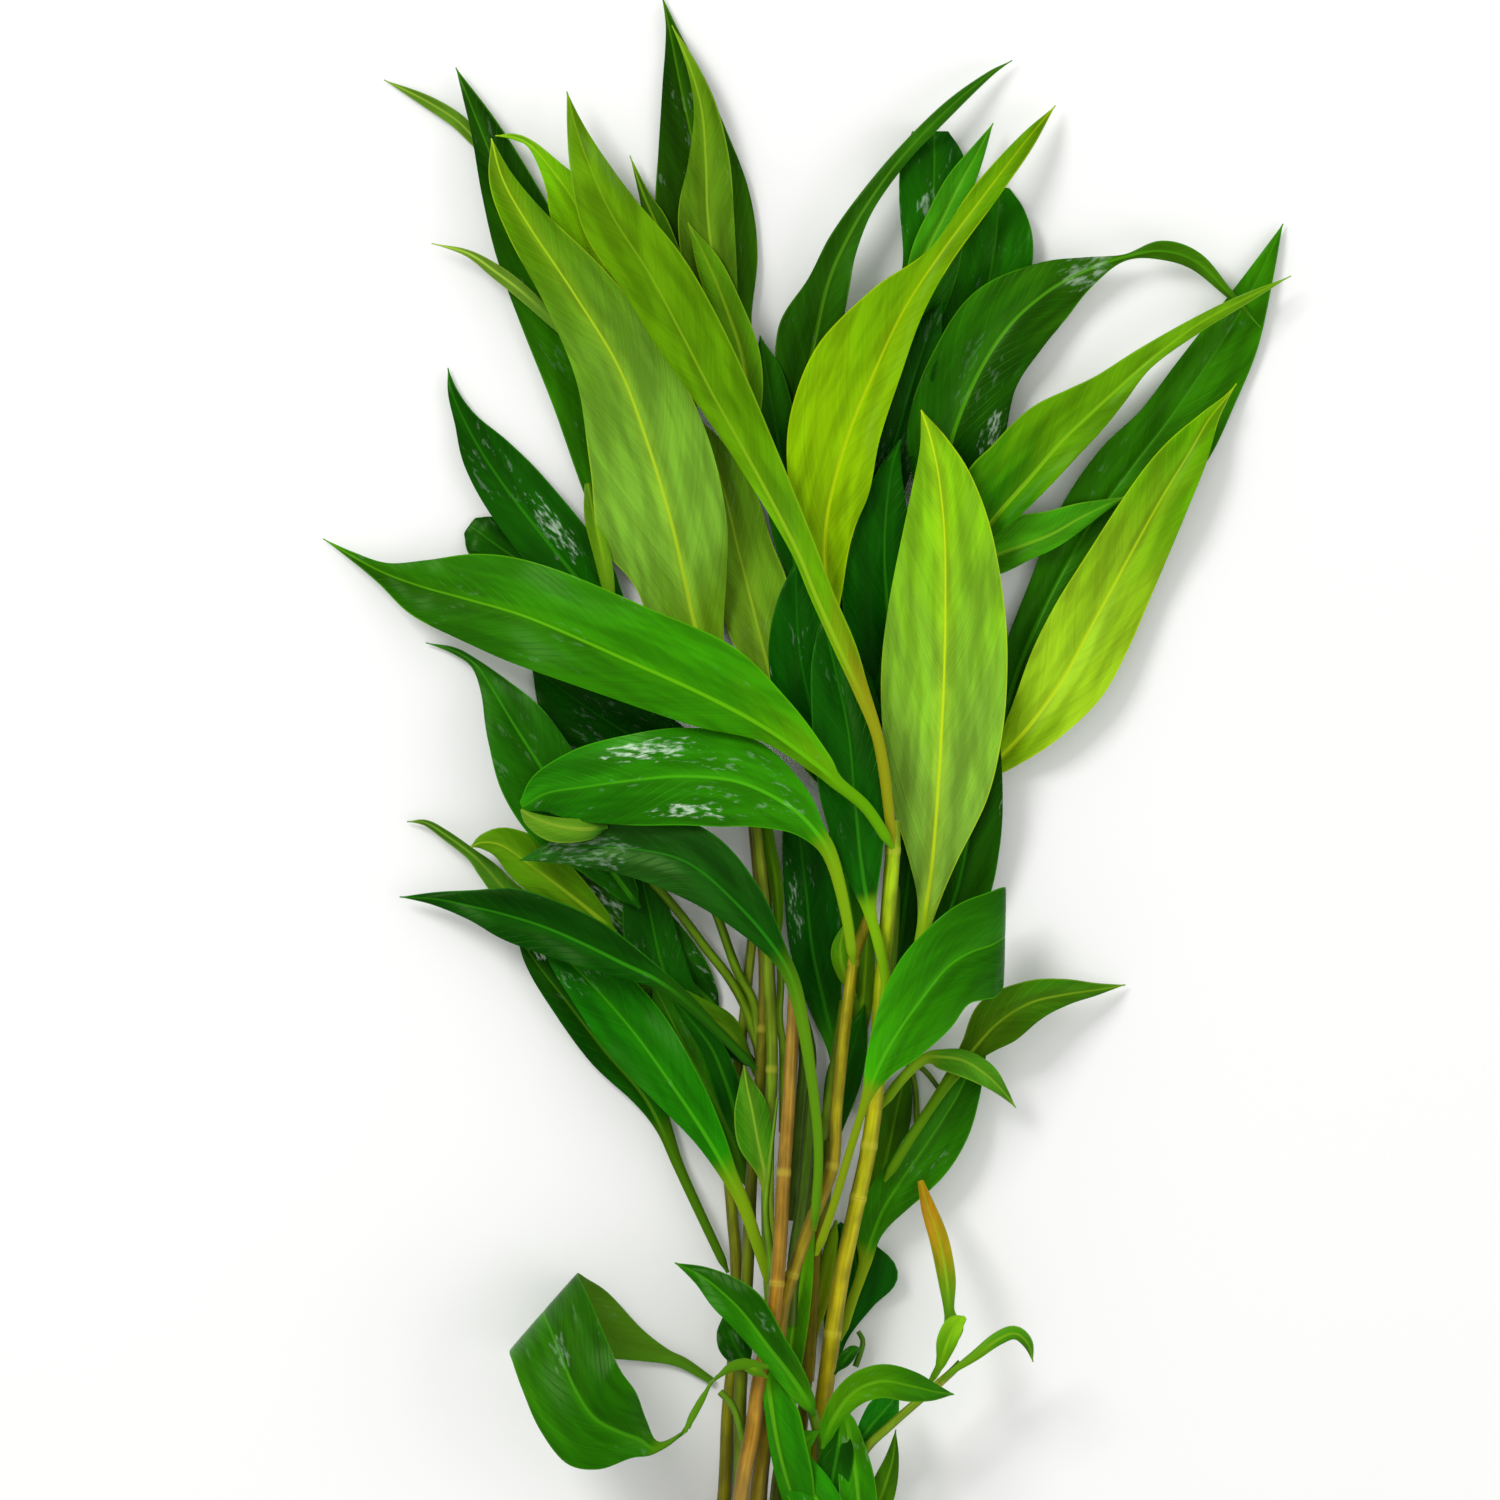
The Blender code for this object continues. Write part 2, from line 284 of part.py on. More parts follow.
      (149, 35.6, 160.3, 43, 1.5), (160, 34.8, 167, 37.8, 1), (169, 33.4, 171.8, 35.4, 0.5),
      (177.5, 29, 178.5, 30.6, 0)]),
]


def blade_thickness(half):
    """Thickness of a leaf where it reaches this far from its midrib: thick stalk, thin blade."""
    reaches = (STALK_HALF_WIDTH, 3 * STALK_HALF_WIDTH)
    return np.interp(half, reaches, (STALK_THICKNESS, BLADE_THICKNESS))


def leaf_rows(spine, slopes, rows):
    """Points of a leaf's middle surface, in rows across it, with each row's place and thickness."""
    line, along = curve_points(spine, rows)
    left, right = np.maximum(line[:, 3], NARROWEST), np.maximum(line[:, 4], NARROWEST)
    heading = np.gradient(line[:, :2], axis=0)
    heading /= np.linalg.norm(heading, axis=1)[:, None]
    rightward = np.column_stack([heading[:, 1], -heading[:, 0]])
    reach = np.column_stack([-left, 0 * left, right])
    blade = np.clip((left + right) / (8 * STALK_HALF_WIDTH) - 0.25, 0, 1)
    rise = np.column_stack([left * slopes[0] * blade, 0 * left, right * slopes[1] * blade])
    surface = np.dstack([
        line[:, 0:1] + rightward[:, 0:1] * reach,
        line[:, 1:2] + rightward[:, 1:2] * reach,
        line[:, 2:3] + rise,
    ])
    return surface, along, blade_thickness((left + right) / 2)


def ribbon_rows(edges, rows):
    """The same for a leaf that folds back over itself, from where its left and right margins run."""
    middles = [((a + c) / 2, (b + d) / 2, rise, a, b, c, d) for a, b, c, d, rise in edges]
    line, along = curve_points(middles, rows)
    left = np.column_stack([line[:, 3:5], line[:, 2]])
    right = np.column_stack([line[:, 5:7], line[:, 2]])
    surface = np.stack([left, line[:, :3], right], axis=1)
    return surface, along, blade_thickness(np.linalg.norm(right - left, axis=1) / 2)


def stem_rows(route, foot_radius, top_radius, rows):
    """Centre line of a stem and its radius at each place."""
    line, along = curve_points([(x, y, 0.0) for x, y in route], rows)
    return line, along, np.interp(along, (0, along[-1]), (foot_radius, top_radius))


def patch_samples(surface, along, half_thickness, step=SAMPLE_STEP):
    """Places spread over a surface of rows of points: position, place along it and half thickness."""
    found = []
    for row in range(len(surface) - 1):
        for column in range(surface.shape[1] - 1):
            a, b = surface[row, column], surface[row + 1, column]
            c, d = surface[row, column + 1], surface[row + 1, column + 1]
            n = int(max(np.linalg.norm(b - a), np.linalg.norm(d - c)) / step) + 2
            m = int(max(np.linalg.norm(c - a), np.linalg.norm(d - b)) / step) + 2
            u, v = np.meshgrid(np.linspace(0, 1, n), np.linspace(0, 1, m), indexing="ij")
            u, v = u.reshape(-1, 1), v.reshape(-1, 1)
            near, far = a * (1 - v) + c * v, b * (1 - v) + d * v
            where = along[row] * (1 - u) + along[row + 1] * u
            thick = half_thickness[row] * (1 - u) + half_thickness[row + 1] * u
            found.append(np.hstack([near * (1 - u) + far * u, where, thick]))
    return np.vstack(found)


def tube_samples(line, along, radius):
    """The same for a round stem, whose half thickness falls to nothing at its sides."""
    across = np.linspace(-1, 1, STEM_SAMPLES)
    heading = np.gradient(line, axis=0)
    side = np.column_stack([heading[:, 1], -heading[:, 0], 0 * heading[:, 0]])
    side /= np.linalg.norm(side, axis=1)[:, None]
    fine = np.arange(0, along[-1], SAMPLE_STEP)
    centre = np.column_stack([np.interp(fine, along, line[:, k]) for k in range(3)])
    sides = np.column_stack([np.interp(fine, along, side[:, k]) for k in range(3)])
    reach = np.interp(fine, along, radius)
    found = []
    for share in across:
        place = centre + sides * (reach * share)[:, None]
        found.append(np.column_stack([place, fine, reach * math.sqrt(1.0001 - share * share)]))
    return np.vstack(found)


class Pile:
    """Heights of what lies on the surface so far, on a grid of cells."""

    def __init__(self):
        across = int((SHEET_X[1] - SHEET_X[0]) / CELL)
        upward = int((SHEET_Y[1] - SHEET_Y[0]) / CELL)
        self.top = np.full((across, upward), -CLEARANCE)

    def cells(self, samples):
        column = ((samples[:, 0] - SHEET_X[0]) / CELL).astype(int)
        row = ((samples[:, 1] - SHEET_Y[0]) / CELL).astype(int)
        return np.clip(column, 1, self.top.shape[0] - 2), np.clip(row, 1, self.top.shape[1] - 2)

    def lay(self, samples, along, bend):
        """Height to add at each place along a piece, so that it clears the pile and stays smooth."""
        column, row = self.cells(samples)
        need = self.top[column, row] + CLEARANCE - (samples[:, 2] - samples[:, 4])
        fine = np.arange(0, along[-1] + 1.0, 1.0)
        slot = np.clip(samples[:, 3].round().astype(int), 0, len(fine) - 1)
        most = np.full(len(fine), -1e3)
        np.maximum.at(most, slot, need)
        apart = np.maximum(np.abs(fine[:, None] - fine[None, :]) - 1.0, 0)
        hard = (most[None, :] - bend * apart**2).max(axis=1)
        reach = int(3 * EASE)
        weight = np.exp(-0.5 * (np.arange(-reach, reach + 1) / EASE) ** 2)
        padded = np.pad(hard, reach, mode="edge")
        eased = np.convolve(padded, weight / weight.sum(), mode="valid")
        eased += max(0.0, (hard - eased).max())
        lift = np.interp(samples[:, 3], fine, eased)
        high = samples[:, 2] + samples[:, 4] + lift
        for right in (-1, 0, 1):
            for up in (-1, 0, 1):
                np.maximum.at(self.top, (column + right, row + up), high)
        return np.interp(along, fine, eased)


TONES = {
    "dark": (0.012, 0.10, 0.008),
    "bright": (0.16, 0.36, 0.01),
    "stem": (0.30, 0.26, 0.02),
}


def material(name, colour):
    made = bpy.data.materials.new(name)
    made.use_nodes = True
    shader = made.node_tree.nodes["Principled BSDF"]
    shader.inputs["Base Color"].default_value = (*colour, 1)
    shader.inputs["Roughness"].default_value = 0.4
    return made


def leaf_solid(name, surface, thickness):
    """A leaf as an open sheet of four-sided faces with Solidify, thicker along its stalk."""
    rows, columns = surface.shape[:2]
    points = [tuple(point * MM) for point in surface.reshape(-1, 3)]
    faces = [
        (row * columns + column, row * columns + column + 1,
         (row + 1) * columns + column + 1, (row + 1) * columns + column)
        for row in range(rows - 1)
        for column in range(columns - 1)
    ]
    mesh = bpy.data.meshes.new(name)
    mesh.from_pydata(points, [], faces)
    mesh.update()
    leaf = bpy.data.objects.new(name, mesh)
    group = leaf.vertex_groups.new(name="thickness")
    for index in range(len(points)):
        group.add([index], float(thickness[index // columns] / STALK_THICKNESS), "REPLACE")
    shell = leaf.modifiers.new("thickness", "SOLIDIFY")
    shell.thickness = STALK_THICKNESS * MM
    shell.offset = 0
    shell.vertex_group = group.name
    return leaf


def stem_solid(name, line, radius):
    """A stem as a round bevelled curve with filled ends, thinning along its route."""
    curve = bpy.data.curves.new(name, "CURVE")
    curve.dimensions = "3D"
    curve.bevel_depth = float(radius.max()) * MM
    curve.bevel_resolution = 2
    curve.use_fill_caps = True
    spline = curve.splines.new("POLY")
    spline.points.add(len(line) - 1)
    for point, place, size in zip(spline.points, line, radius):
        point.co = (*(place * MM), 1)
        point.radius = float(size / radius.max())
    return bpy.data.objects.new(name, curve)


def laid_pieces():
    """Every piece at its height in the bunch, from the back one to the front one."""
    pile = Pile()
    laid = []
    for kind, name, route, *form in PIECES:
        if kind == "stem":
            line, along, radius = stem_rows(route, *form, len(route) + EXTRA_ROWS)
            line[:, 2] += pile.lay(tube_samples(line, along, radius), along, STEM_BEND)
            laid.append((name, line, radius))
            continue
        rows = len(route) + EXTRA_ROWS
        if kind == "leaf":
            surface, along, thickness = leaf_rows(route, *form, rows)
        else:
            surface, along, thickness = ribbon_rows(route, rows)
        lift = pile.lay(patch_samples(surface, along, thickness / 2), along, LEAF_BEND)
        surface[:, :, 2] += lift[:, None]
        laid.append((name, surface, thickness))
    return laid


def main():
    for old in list(bpy.data.objects):
        bpy.data.objects.remove(old)
    group = bpy.data.collections.new("temple_plant_bunch")
    bpy.context.scene.collection.children.link(group)
    laid = laid_pieces()
    corners = np.vstack([shape.reshape(-1, 3) for _, shape, _ in laid])
    low, high = corners.min(axis=0), corners.max(axis=0)
    middle = np.array([(low[0] + high[0]) / 2, (low[1] + high[1]) / 2, 0.0])
    materials = {name: material(name, colour) for name, colour in TONES.items()}
    for name, shape, thickness in laid:
        if shape.ndim == 2:
            made, tone = stem_solid(name, shape - middle, thickness), "stem"
        else:
            made = leaf_solid(name, shape - middle, thickness)
            tone = "dark" if "dark" in name else "bright"
        made.data.materials.append(materials[tone])
        group.objects.link(made)


main()
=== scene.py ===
"""The looks of a cut bunch of temple plant: fine leaves and ringed stems in place of the solids.

Places are in millimetres, to the right and up from the lower left corner of a 375 mm square
that the bunch fills, and turn into metres in the row frame when a mesh is made.
"""
import json
import math

import bpy

import numpy as np

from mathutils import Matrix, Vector

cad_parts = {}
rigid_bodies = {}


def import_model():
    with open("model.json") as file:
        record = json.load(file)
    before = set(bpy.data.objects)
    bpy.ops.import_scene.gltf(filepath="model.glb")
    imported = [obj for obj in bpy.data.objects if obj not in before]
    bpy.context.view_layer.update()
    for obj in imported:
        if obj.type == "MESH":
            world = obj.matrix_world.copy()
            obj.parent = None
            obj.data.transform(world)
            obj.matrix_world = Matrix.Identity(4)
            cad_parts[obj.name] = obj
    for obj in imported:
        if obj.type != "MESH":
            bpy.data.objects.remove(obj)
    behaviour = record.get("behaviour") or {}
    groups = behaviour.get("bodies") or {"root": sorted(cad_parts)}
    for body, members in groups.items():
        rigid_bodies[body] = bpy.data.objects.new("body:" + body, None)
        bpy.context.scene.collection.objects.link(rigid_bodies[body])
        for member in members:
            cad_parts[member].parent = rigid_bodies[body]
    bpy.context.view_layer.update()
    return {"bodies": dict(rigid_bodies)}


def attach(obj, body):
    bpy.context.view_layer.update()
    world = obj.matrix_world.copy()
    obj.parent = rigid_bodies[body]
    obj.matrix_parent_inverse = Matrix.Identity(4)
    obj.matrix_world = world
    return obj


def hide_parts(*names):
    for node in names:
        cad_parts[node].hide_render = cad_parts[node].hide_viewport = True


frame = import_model()

# Driving dimensions of the solids, in millimetres. Places are measured to the right and up from the
# lower left corner of a 375 mm square that the bunch fills.
MM = 0.001
CELL = 1.0
SHEET_X = (60.0, 345.0)
SHEET_Y = (-60.0, 390.0)
CLEARANCE = 0.9
BLADE_THICKNESS = 0.6
STALK_THICKNESS = 1.8
STALK_HALF_WIDTH = 1.2
NARROWEST = 0.5
LEAF_BEND = 0.0035
STEM_BEND = 0.0008
EASE = 5.0
EXTRA_ROWS = 4
SAMPLE_STEP = 0.45
STEM_SAMPLES = 9
# The fine leaves: their grid, their waves and what their skins add over the middle surface.
# Lengths are in millimetres.
ROW_STEP = 1.1
LIFT_SPOTS = 400
FEWEST_ROWS = 36
MOST_ROWS = 150
COLUMNS = 25
CROWDING = 1.6
TIP_HALF_WIDTH = 0.16
BLADE_HALF_WIDTHS = (1.5, 3.4)
ARCH = 0.06
WAVE = 0.35
WAVE_LENGTH = 31.0
LEFT_WAVE_SHIFT = 2.1
BLADE_SKIN = 0.18
THIN_SHARE = 0.45
STALK_FLATNESS = 0.75
GROOVE = 0.12
GROOVE_REACH = 0.55
RIDGE = 0.55
RIDGE_REACH = 0.75
FOOT_TAPER = 4.0
FOOT_SHARE = 0.4
FOOT_SINK = 0.9
# The fine stems: their grid and their swollen rings.
STEM_STEP = 1.0
STEM_SIDES = 20
RING_LENGTH = 0.9
RING_SWELL = 0.09
SHARP_ANGLE = 50.0
# How leaves and stems are coloured and how they shine.
VEIN_LEAN = 1.7
VEIN_ARCH = 0.06
VEIN_SPACING = 4.2
RIB_HALF_WIDTH = 0.6
STREAK_DEPTH = 0.06
MOTTLE_DARK = 0.82
MOTTLE_LIGHT = 1.2
GLOSS_LEVEL = {"upper": 0.09, "under": 0.08}
GLOSS_TINT = (0.4, 1.0, 0.12, 1.0)
COAT = {"upper": 0.02, "under": 0.0}
COAT_ROUGHNESS = 0.2
STEM_ROUGHNESS = 0.42
STEM_GLOSS_LEVEL = 0.25
STEM_GLOSS_TINT = (1.0, 0.9, 0.45, 1.0)
STEM_COAT = 0.06
STEM_COAT_ROUGHNESS = 0.25
RING_COLOUR = "d0c840"
SCAR_COLOUR = "7a5a14"
SEED_STEP = 3.7
# The surroundings: lengths in millimetres, but the camera's height and the lights in metres.
# Lights: name, place, side and power in watts.
SQUARE = 375.0
FLOOR_SIDE = 6000.0
FLOOR_DROP = 0.4
FLOOR_ROUGHNESS = 0.9
CAMERA_HEIGHT = 4.0
CAMERA_SENSOR = 36.0
WORLD_STRENGTH = 0.68
LIGHTS = (
    ("key_light", (-0.75, 0.75, 1.1), 0.5, 11.0),
    ("fill_light", (1.1, -0.3, 0.9), 0.9, 4.0),
)
# Small pieces laid just behind the named ones, written as in the list of pieces further down.
BEHIND = {
    "leaf_long_narrow_top_right": [
        ("leaf_dark_behind_long_bright", ("0a4402 0c5002 1c5402 2c740c", 0.4, 0.0),
         [(200, 226, 0, 1.2), (198, 240, 1, 4.5, 4), (196, 254, 1, 5), (194, 268, 1, 5),
          (191.8, 281, 1, 4), (190, 291, 0, 0)], (0.1, 0.1)),
    ],
    "leaf_bright_curled_left": [
        ("leaf_olive_shoulder", ("4c7c07 4c8008 4a7c08 84a81d", 0.42, 0.0),
         [(186, 262, 0, 1.2), (187, 274, 1, 3.5), (185.5, 286, 1, 4.5), (181.5, 298, 1, 4),
          (177, 309, 1, 3), (172, 319, 0, 0)], (0.1, 0.1)),
    ],
    "leaf_twisted_dark_right": [
        ("leaf_dark_inner_top_right", ("053202 063602 0a4002 1c600b", 0.4, 0.1),
         [(218, 240, 0, 1.2), (220.5, 252, 1, 5), (224, 265, 1, 6), (228, 279, 1, 5.5),
          (232, 291, 1, 3.5), (235.5, 300, 0, 0)], (0.1, 0.1)),
    ],
    "leaf_dark_behind_centre": [
        ("leaf_dark_inner_right", ("053a02 084802 0a4a02 24740b", 0.4, 0.0),
         [(222, 192, 0, 1.2), (218, 203, 1, 5), (215, 214, 2, 6), (214, 226, 2, 5, 6), (215, 238, 1, 3),
          (218, 247, 0, 0)], (0.1, 0.1)),
    ],
    "leaf_dark_folded_left": [
        ("leaf_dark_under_crossing", ("053a02 063e02 0a4402 1c640b", 0.4, 0.2),
         [(188, 172, 0, 1.2), (177, 180, 1, 6), (163, 188, 2, 11, 9), (150, 196, 2, 12, 8),
          (140, 203, 1, 8, 5), (133, 208, 0, 0)], (0.1, 0.1)),
    ],
    "stem_left": [
        ("stem_olive_back", ("6a7a09 5a6a07 7a6a09", ()),
         [(193, 120), (192, 142), (191.5, 152), (191, 165), (189, 180)], 1.3, 1.2),
        ("stem_dark_back", ("4a6a07 446006 3c5c06", ()),
         [(199, 28), (200, 60), (201.5, 80), (202, 100), (202.8, 112), (199.8, 125)], 1.5, 1.2),
        ("stem_olive_inner", ("6a7409 5c7a09 5a7c09", (84,)),
         [(198, 40), (201.5, 65), (204, 80), (206.5, 95), (209, 112), (211, 125)], 1.4, 1.2),
        ("stem_light_back", ("6a940d 6f9c14 6a9412", ()),
         [(195.7, 92), (195.7, 112), (194.8, 121), (195.2, 131), (194, 142)], 1.0, 0.9),
        ("stem_olive_right", ("5a7c07 5c8407 4c7404", ()),
         [(216, 96), (222, 128), (223.5, 142), (224, 152), (226, 168)], 1.3, 1.3),
        ("leaf_strip_centre", ("4a7c07 447404 3c6804 6a9c12", 0.4, 0.0),
         [(194, 178, 0, 1.2), (191.8, 168, 1, 1.6), (193.8, 156, 1, 1.7), (194.6, 146, 1, 1.2),
          (194.8, 139, 0, 0)], (0.2, 0.2)),
    ],
    "leaf_dark_upright_left": [
        ("leaf_dark_inner_left", ("0c4402 1c5a07 2a640b 3c8412", 0.36, 0.4),
         [(180, 122, 0, 1.2), (171, 131, 1, 7), (158, 142, 2, 10), (146, 152, 2, 8), (136, 158, 1, 5),
          (128, 163, 0, 0)], (0.1, 0.1)),
        ("stalk_left_long", ("6a8c09 5c8404 4a7404", ()),
         [(190.2, 106), (189.7, 112.5), (188, 118), (186, 124), (182, 131), (176.5, 138), (170.5, 146),
          (165, 152.5), (156, 162)], 1.3, 1.1),
        ("stalk_left_short", ("6a8c0b 5c8404 548007", ()),
         [(190.4, 108), (189.1, 118.3), (188, 125.3), (183.9, 133.3), (179.4, 145.9),
          (175, 156)], 1.3, 1.1),
    ],
    "leaf_back_low_left": [
        ("leaf_olive_inner_low", ("3c6c09 2a6407 1c5804 4c8c14", 0.4, 0.1),
         [(187, 78, 0, 1.2), (183, 90, 1, 3), (178, 101, 2, 4.5), (172, 112, 2, 5), (167, 122, 1, 3.5),
          (163, 130, 0, 0)], (0.1, 0.1)),
        ("leaf_dark_inner_low", ("2a6404 064802 0a4a02 2c780b", 0.36, 0.0),
         [(188, 84, 0, 1.2), (184.5, 94, 1, 2.6), (182, 103, 2, 3.4), (178, 113, 2, 3),
          (172, 121, 1, 1.8), (166, 128, 0, 0)], (0.1, 0.1)),
    ],
    "leaf_dark_folded_behind_low": [
        ("leaf_olive_behind_right", ("447406 3a6c04 2a5c03 5c9412", 0.4, 0.0),
         [(219, 66, 0, 1), (220.5, 80, 1, 3.5, 3), (223, 92, 1, 4.5, 4), (225, 101, 1, 3.5, 3.2),
          (227, 109, 0, 0)], (0.1, 0.1)),
        ("leaf_dark_behind_stems", ("123e02 0e4402 0c4a02 245c09", 0.4, 0.0),
         [(206, 84, 0, 1), (208.5, 95, 1, 3), (211, 106, 1, 4.5), (214, 116, 1, 3), (216, 124, 0, 0)],
         (0.1, 0.1)),
        ("twig_long", ("6a8c0f 6a9412 6a9412", ()),
         [(229.2, 94), (229, 101), (228, 107.5)], 0.75, 0.7),
        ("twig_short", ("4a7009 5a840b 6a9412", ()),
         [(235, 102.5), (231, 107.5), (227, 110)], 0.6, 0.7),
    ],
    "leaf_speckled_crossing": [
        ("leaf_tip_turned_under", ("2c6410 447412 4c7c14 7c9c28", 0.4, 0.0),
         [(152, 168.5, 0, 1.5), (146, 167.8, 1, 3, 2.5), (139, 168.8, 1, 4.2, 2),
          (133.5, 170.8, 1, 2.8, 1), (130.6, 172.6, 0, 0.4)], (0.1, 0.1)),
    ],
    "leaf_large_pale_left": [
        ("leaf_narrow_hanging_left", ("5c8c10 5c8c10 4c7c0c 84a81c", 0.4, 0.0),
         [(153, 221, 0, 0.8), (152.2, 228, 1, 1.7, 1.6), (150.8, 236, 1, 2.3, 2), (148.5, 246, 1, 2.4, 2),
          (147, 254, 0, 0.8)], (0.3, 0.3)),
    ],
    "leaf_dark_right_middle": [
        ("leaf_dark_between_stalks", ("123e02 0a3e02 0a4402 246409", 0.36, 0.0),
         [(224, 130, 0, 1), (225.5, 142, 1, 3.5), (227, 155, 1, 4.5, 5), (228.5, 168, 1, 4),
          (229.5, 180, 0, 0.6)], (0.1, 0.1)),
    ],
    "stem_middle": [
        ("leaf_olive_between_stems", ("4c7c08 446c06 2a5c04 6a9410", 0.36, 0.0),
         [(214, 112, 0, 0.8), (215, 120, 1, 2, 2.4), (216, 129, 1, 2.6), (216.6, 138, 1, 2.2, 2),
          (217, 147, 0, 0.6)], (0.1, 0.1)),
        ("stem_dark_inner", ("3c5a06 345406 2c4c05", ()),
         [(198, 70), (198.9, 80), (200, 95.4), (201.2, 112.6), (199.2, 127)], 1.8, 1.4),
        ("stem_moss_gap", ("3c5c06 40620a 446c08", ()),
         [(197.5, 44), (198.5, 60.4), (200.2, 72.4), (201.5, 82.5), (203, 100)], 1.8, 1.4),
        ("stem_green_gap", ("5a7c0a 4c7a08 446c07", ()),
         [(199.5, 40), (201.5, 54.4), (202.9, 64.4), (203.5, 73.8), (203.5, 82.5),
          (202.8, 104)], 1.4, 1.0),
        ("stem_brown_gap", ("867a0c 7c740a 5c7008", ()),
         [(202, 30), (202.9, 42.3), (203.5, 54.4), (204.2, 63.7), (206.2, 74.5), (207.5, 90)], 1.5, 1.3),
        ("stem_light_gap", ("5c8c0a 64940c 5c8c0a", ()),
         [(193.4, 50), (192.8, 60.4), (191.5, 72.4), (192.2, 82.5), (194.3, 101)], 1.2, 0.3),
        ("stem_low_back", ("5c5a08 4c5c06 3c5406", ()),
         [(191, -38), (194, 0), (196, 15), (198.5, 35), (199.5, 50)], 1.9, 1.5),
        ("stem_low_brown", ("6c5c08 6a6408 5c6408", ()),
         [(194, -41), (198, 0), (200, 15), (202, 34), (203, 46)], 1.7, 1.4),
        ("leaf_small_light_centre", ("5a8c09 4c8c09 3c7c07 84b418", 0.4, 0.0),
         [(214, 126, 0, 0.8), (211, 132, 1, 2), (210, 138, 1, 2.2), (211.5, 145, 0, 0)], (0.2, 0.2)),
        ("leaf_small_oval_low", ("0c3e02 0e4402 124a03 246409", 0.34, 0.1),
         [(187.5, 33, 0, 1), (185.5, 36, 1, 3), (183.5, 39.5, 2, 4), (182, 43, 1, 3), (181, 46, 0, 0.5)],
         (0.1, 0.1)),
        ("leaf_green_low_centre", ("4a8c04 428c03 184c02 6cac0f", 0.34, 0.0),
         [(203, 75, 0, 1), (201.5, 62, 1, 2), (200, 53, 2, 3), (198.5, 45, 2, 3.6), (197.5, 37, 2, 3.4),
          (197, 28, 1, 2.4), (198, 18, 0, 0.5)], (0.2, 0.2)),
        ("leaf_olive_blade_low", ("5c8404 6a7c04 5a6c03 84940f", 0.36, 0.0),
         [(209, 70, 0, 1), (207, 60, 1, 1.9), (204.8, 50, 1, 2.3), (202.5, 42, 1, 2.1),
          (201.5, 33, 0, 1)], (0.3, 0.3)),
    ],
    "stem_front_tan": [
        ("leaf_bright_low_centre", ("2f7c04 1f7004 1a6404 5ca410", 0.34, 0.0),
         [(191.8, 37, 0, 1.2), (192, 31, 1, 3, 1.6), (193, 23, 2, 6.5, 1.8), (194.6, 14, 2, 7, 2.2),
          (197, 5, 2, 6.5, 2.5), (200, -4, 1, 4, 2), (204, -12, 0, 0)], (0.1, 0.3)),
        ("stalk_thin_low", ("5a8409 5a8c0b 5a8409", ()),
         [(186.5, 6), (186, 15), (183.5, 24), (180, 28)], 0.9, 0.9),
    ],
    "stem_side_thin": [
        ("leaf_olive_low_right", ("3c7c07 3c6c07 245003 5c9412", 0.36, 0.0),
         [(216, -14, 0, 1.2), (218.5, -4, 1, 3), (221, 4, 1, 3.3, 3), (223, 11, 1, 2, 1.6),
          (223.8, 18.3, 0, 0)], (0.1, 0.1)),
        ("tendril_low", ("3c7409 4a840d 4a840d", ()),
         [(213.8, 33.5), (215.2, 37.3), (215.7, 40), (214.5, 42.3)], 0.8, 0.6),
        ("leaf_tiny_low", ("144c03 0c4402 1c5c06 2c6c0b", 0.36, 0.0),
         [(208.5, 32, 0, 0.6), (211, 35.5, 1, 1.7), (213, 37.8, 1, 1.5), (214.9, 38.4, 0, 0.4)],
         (0.1, 0.1)),
    ],
    "stem_short_cut": [
        ("leaf_dark_low_centre", ("0c4402 104e03 186004 2c7c0b", 0.36, 0.0),
         [(211, 24, 0, 1), (209.5, 14, 1, 4), (208, 5, 1, 4), (208, -6, 0, 1)], (0.1, 0.1)),
    ],
    "leaf_hanging_glossy_centre": [
        ("leaf_dark_fork", ("2a6404 144e03 0a4402 2c7c0b", 0.36, 0.0),
         [(214, 138, 0, 1), (212.5, 147, 1, 4, 3.5), (211.5, 156, 1, 5, 4.5), (211, 166, 1, 4),
          (211, 176, 0, 0.6)], (0.1, 0.1)),
        ("stem_tan_back", ("7a6008 6c5a08 5c6408", ()),
         [(197.6, 112), (198.6, 128), (199.4, 138), (199.8, 148), (200, 158)], 1.5, 1.1),
        ("leaf_dark_inner_centre", ("053a02 064402 084a02 1c6c0b", 0.4, 0.3),
         [(214, 170, 0, 1.2), (208, 184, 1, 6), (203, 197, 2, 8), (200, 211, 2, 8), (199, 224, 1, 5),
          (199, 235, 0, 0)], (0.1, 0.1)),
    ],
    "leaf_small_arched": [
        ("leaf_small_bud_right", ("5c9408 5c9c0c 7cb414 7cb818", 0.36, 0.0),
         [(233.7, 31.6, 0, 0.7), (235.2, 36, 1, 1.5), (236.6, 40.5, 2, 2.8, 2.4),
          (238.6, 44.6, 1, 2.6, 2), (241, 46.4, 0, 0.6)], (0.3, 0.3)),
    ],
    "leaf_looped": [
        ("sheath_low", ("4c7c0b 4c840d 447808 6c9c14", 0.36, 0.0),
         [(191.8, 31.8, 0, 1), (189, 33.8, 1, 1.7), (186.5, 35.2, 1, 1.5), (184.5, 35.6, 0, 0.8)],
         (0.3, 0.3)),
    ],
}


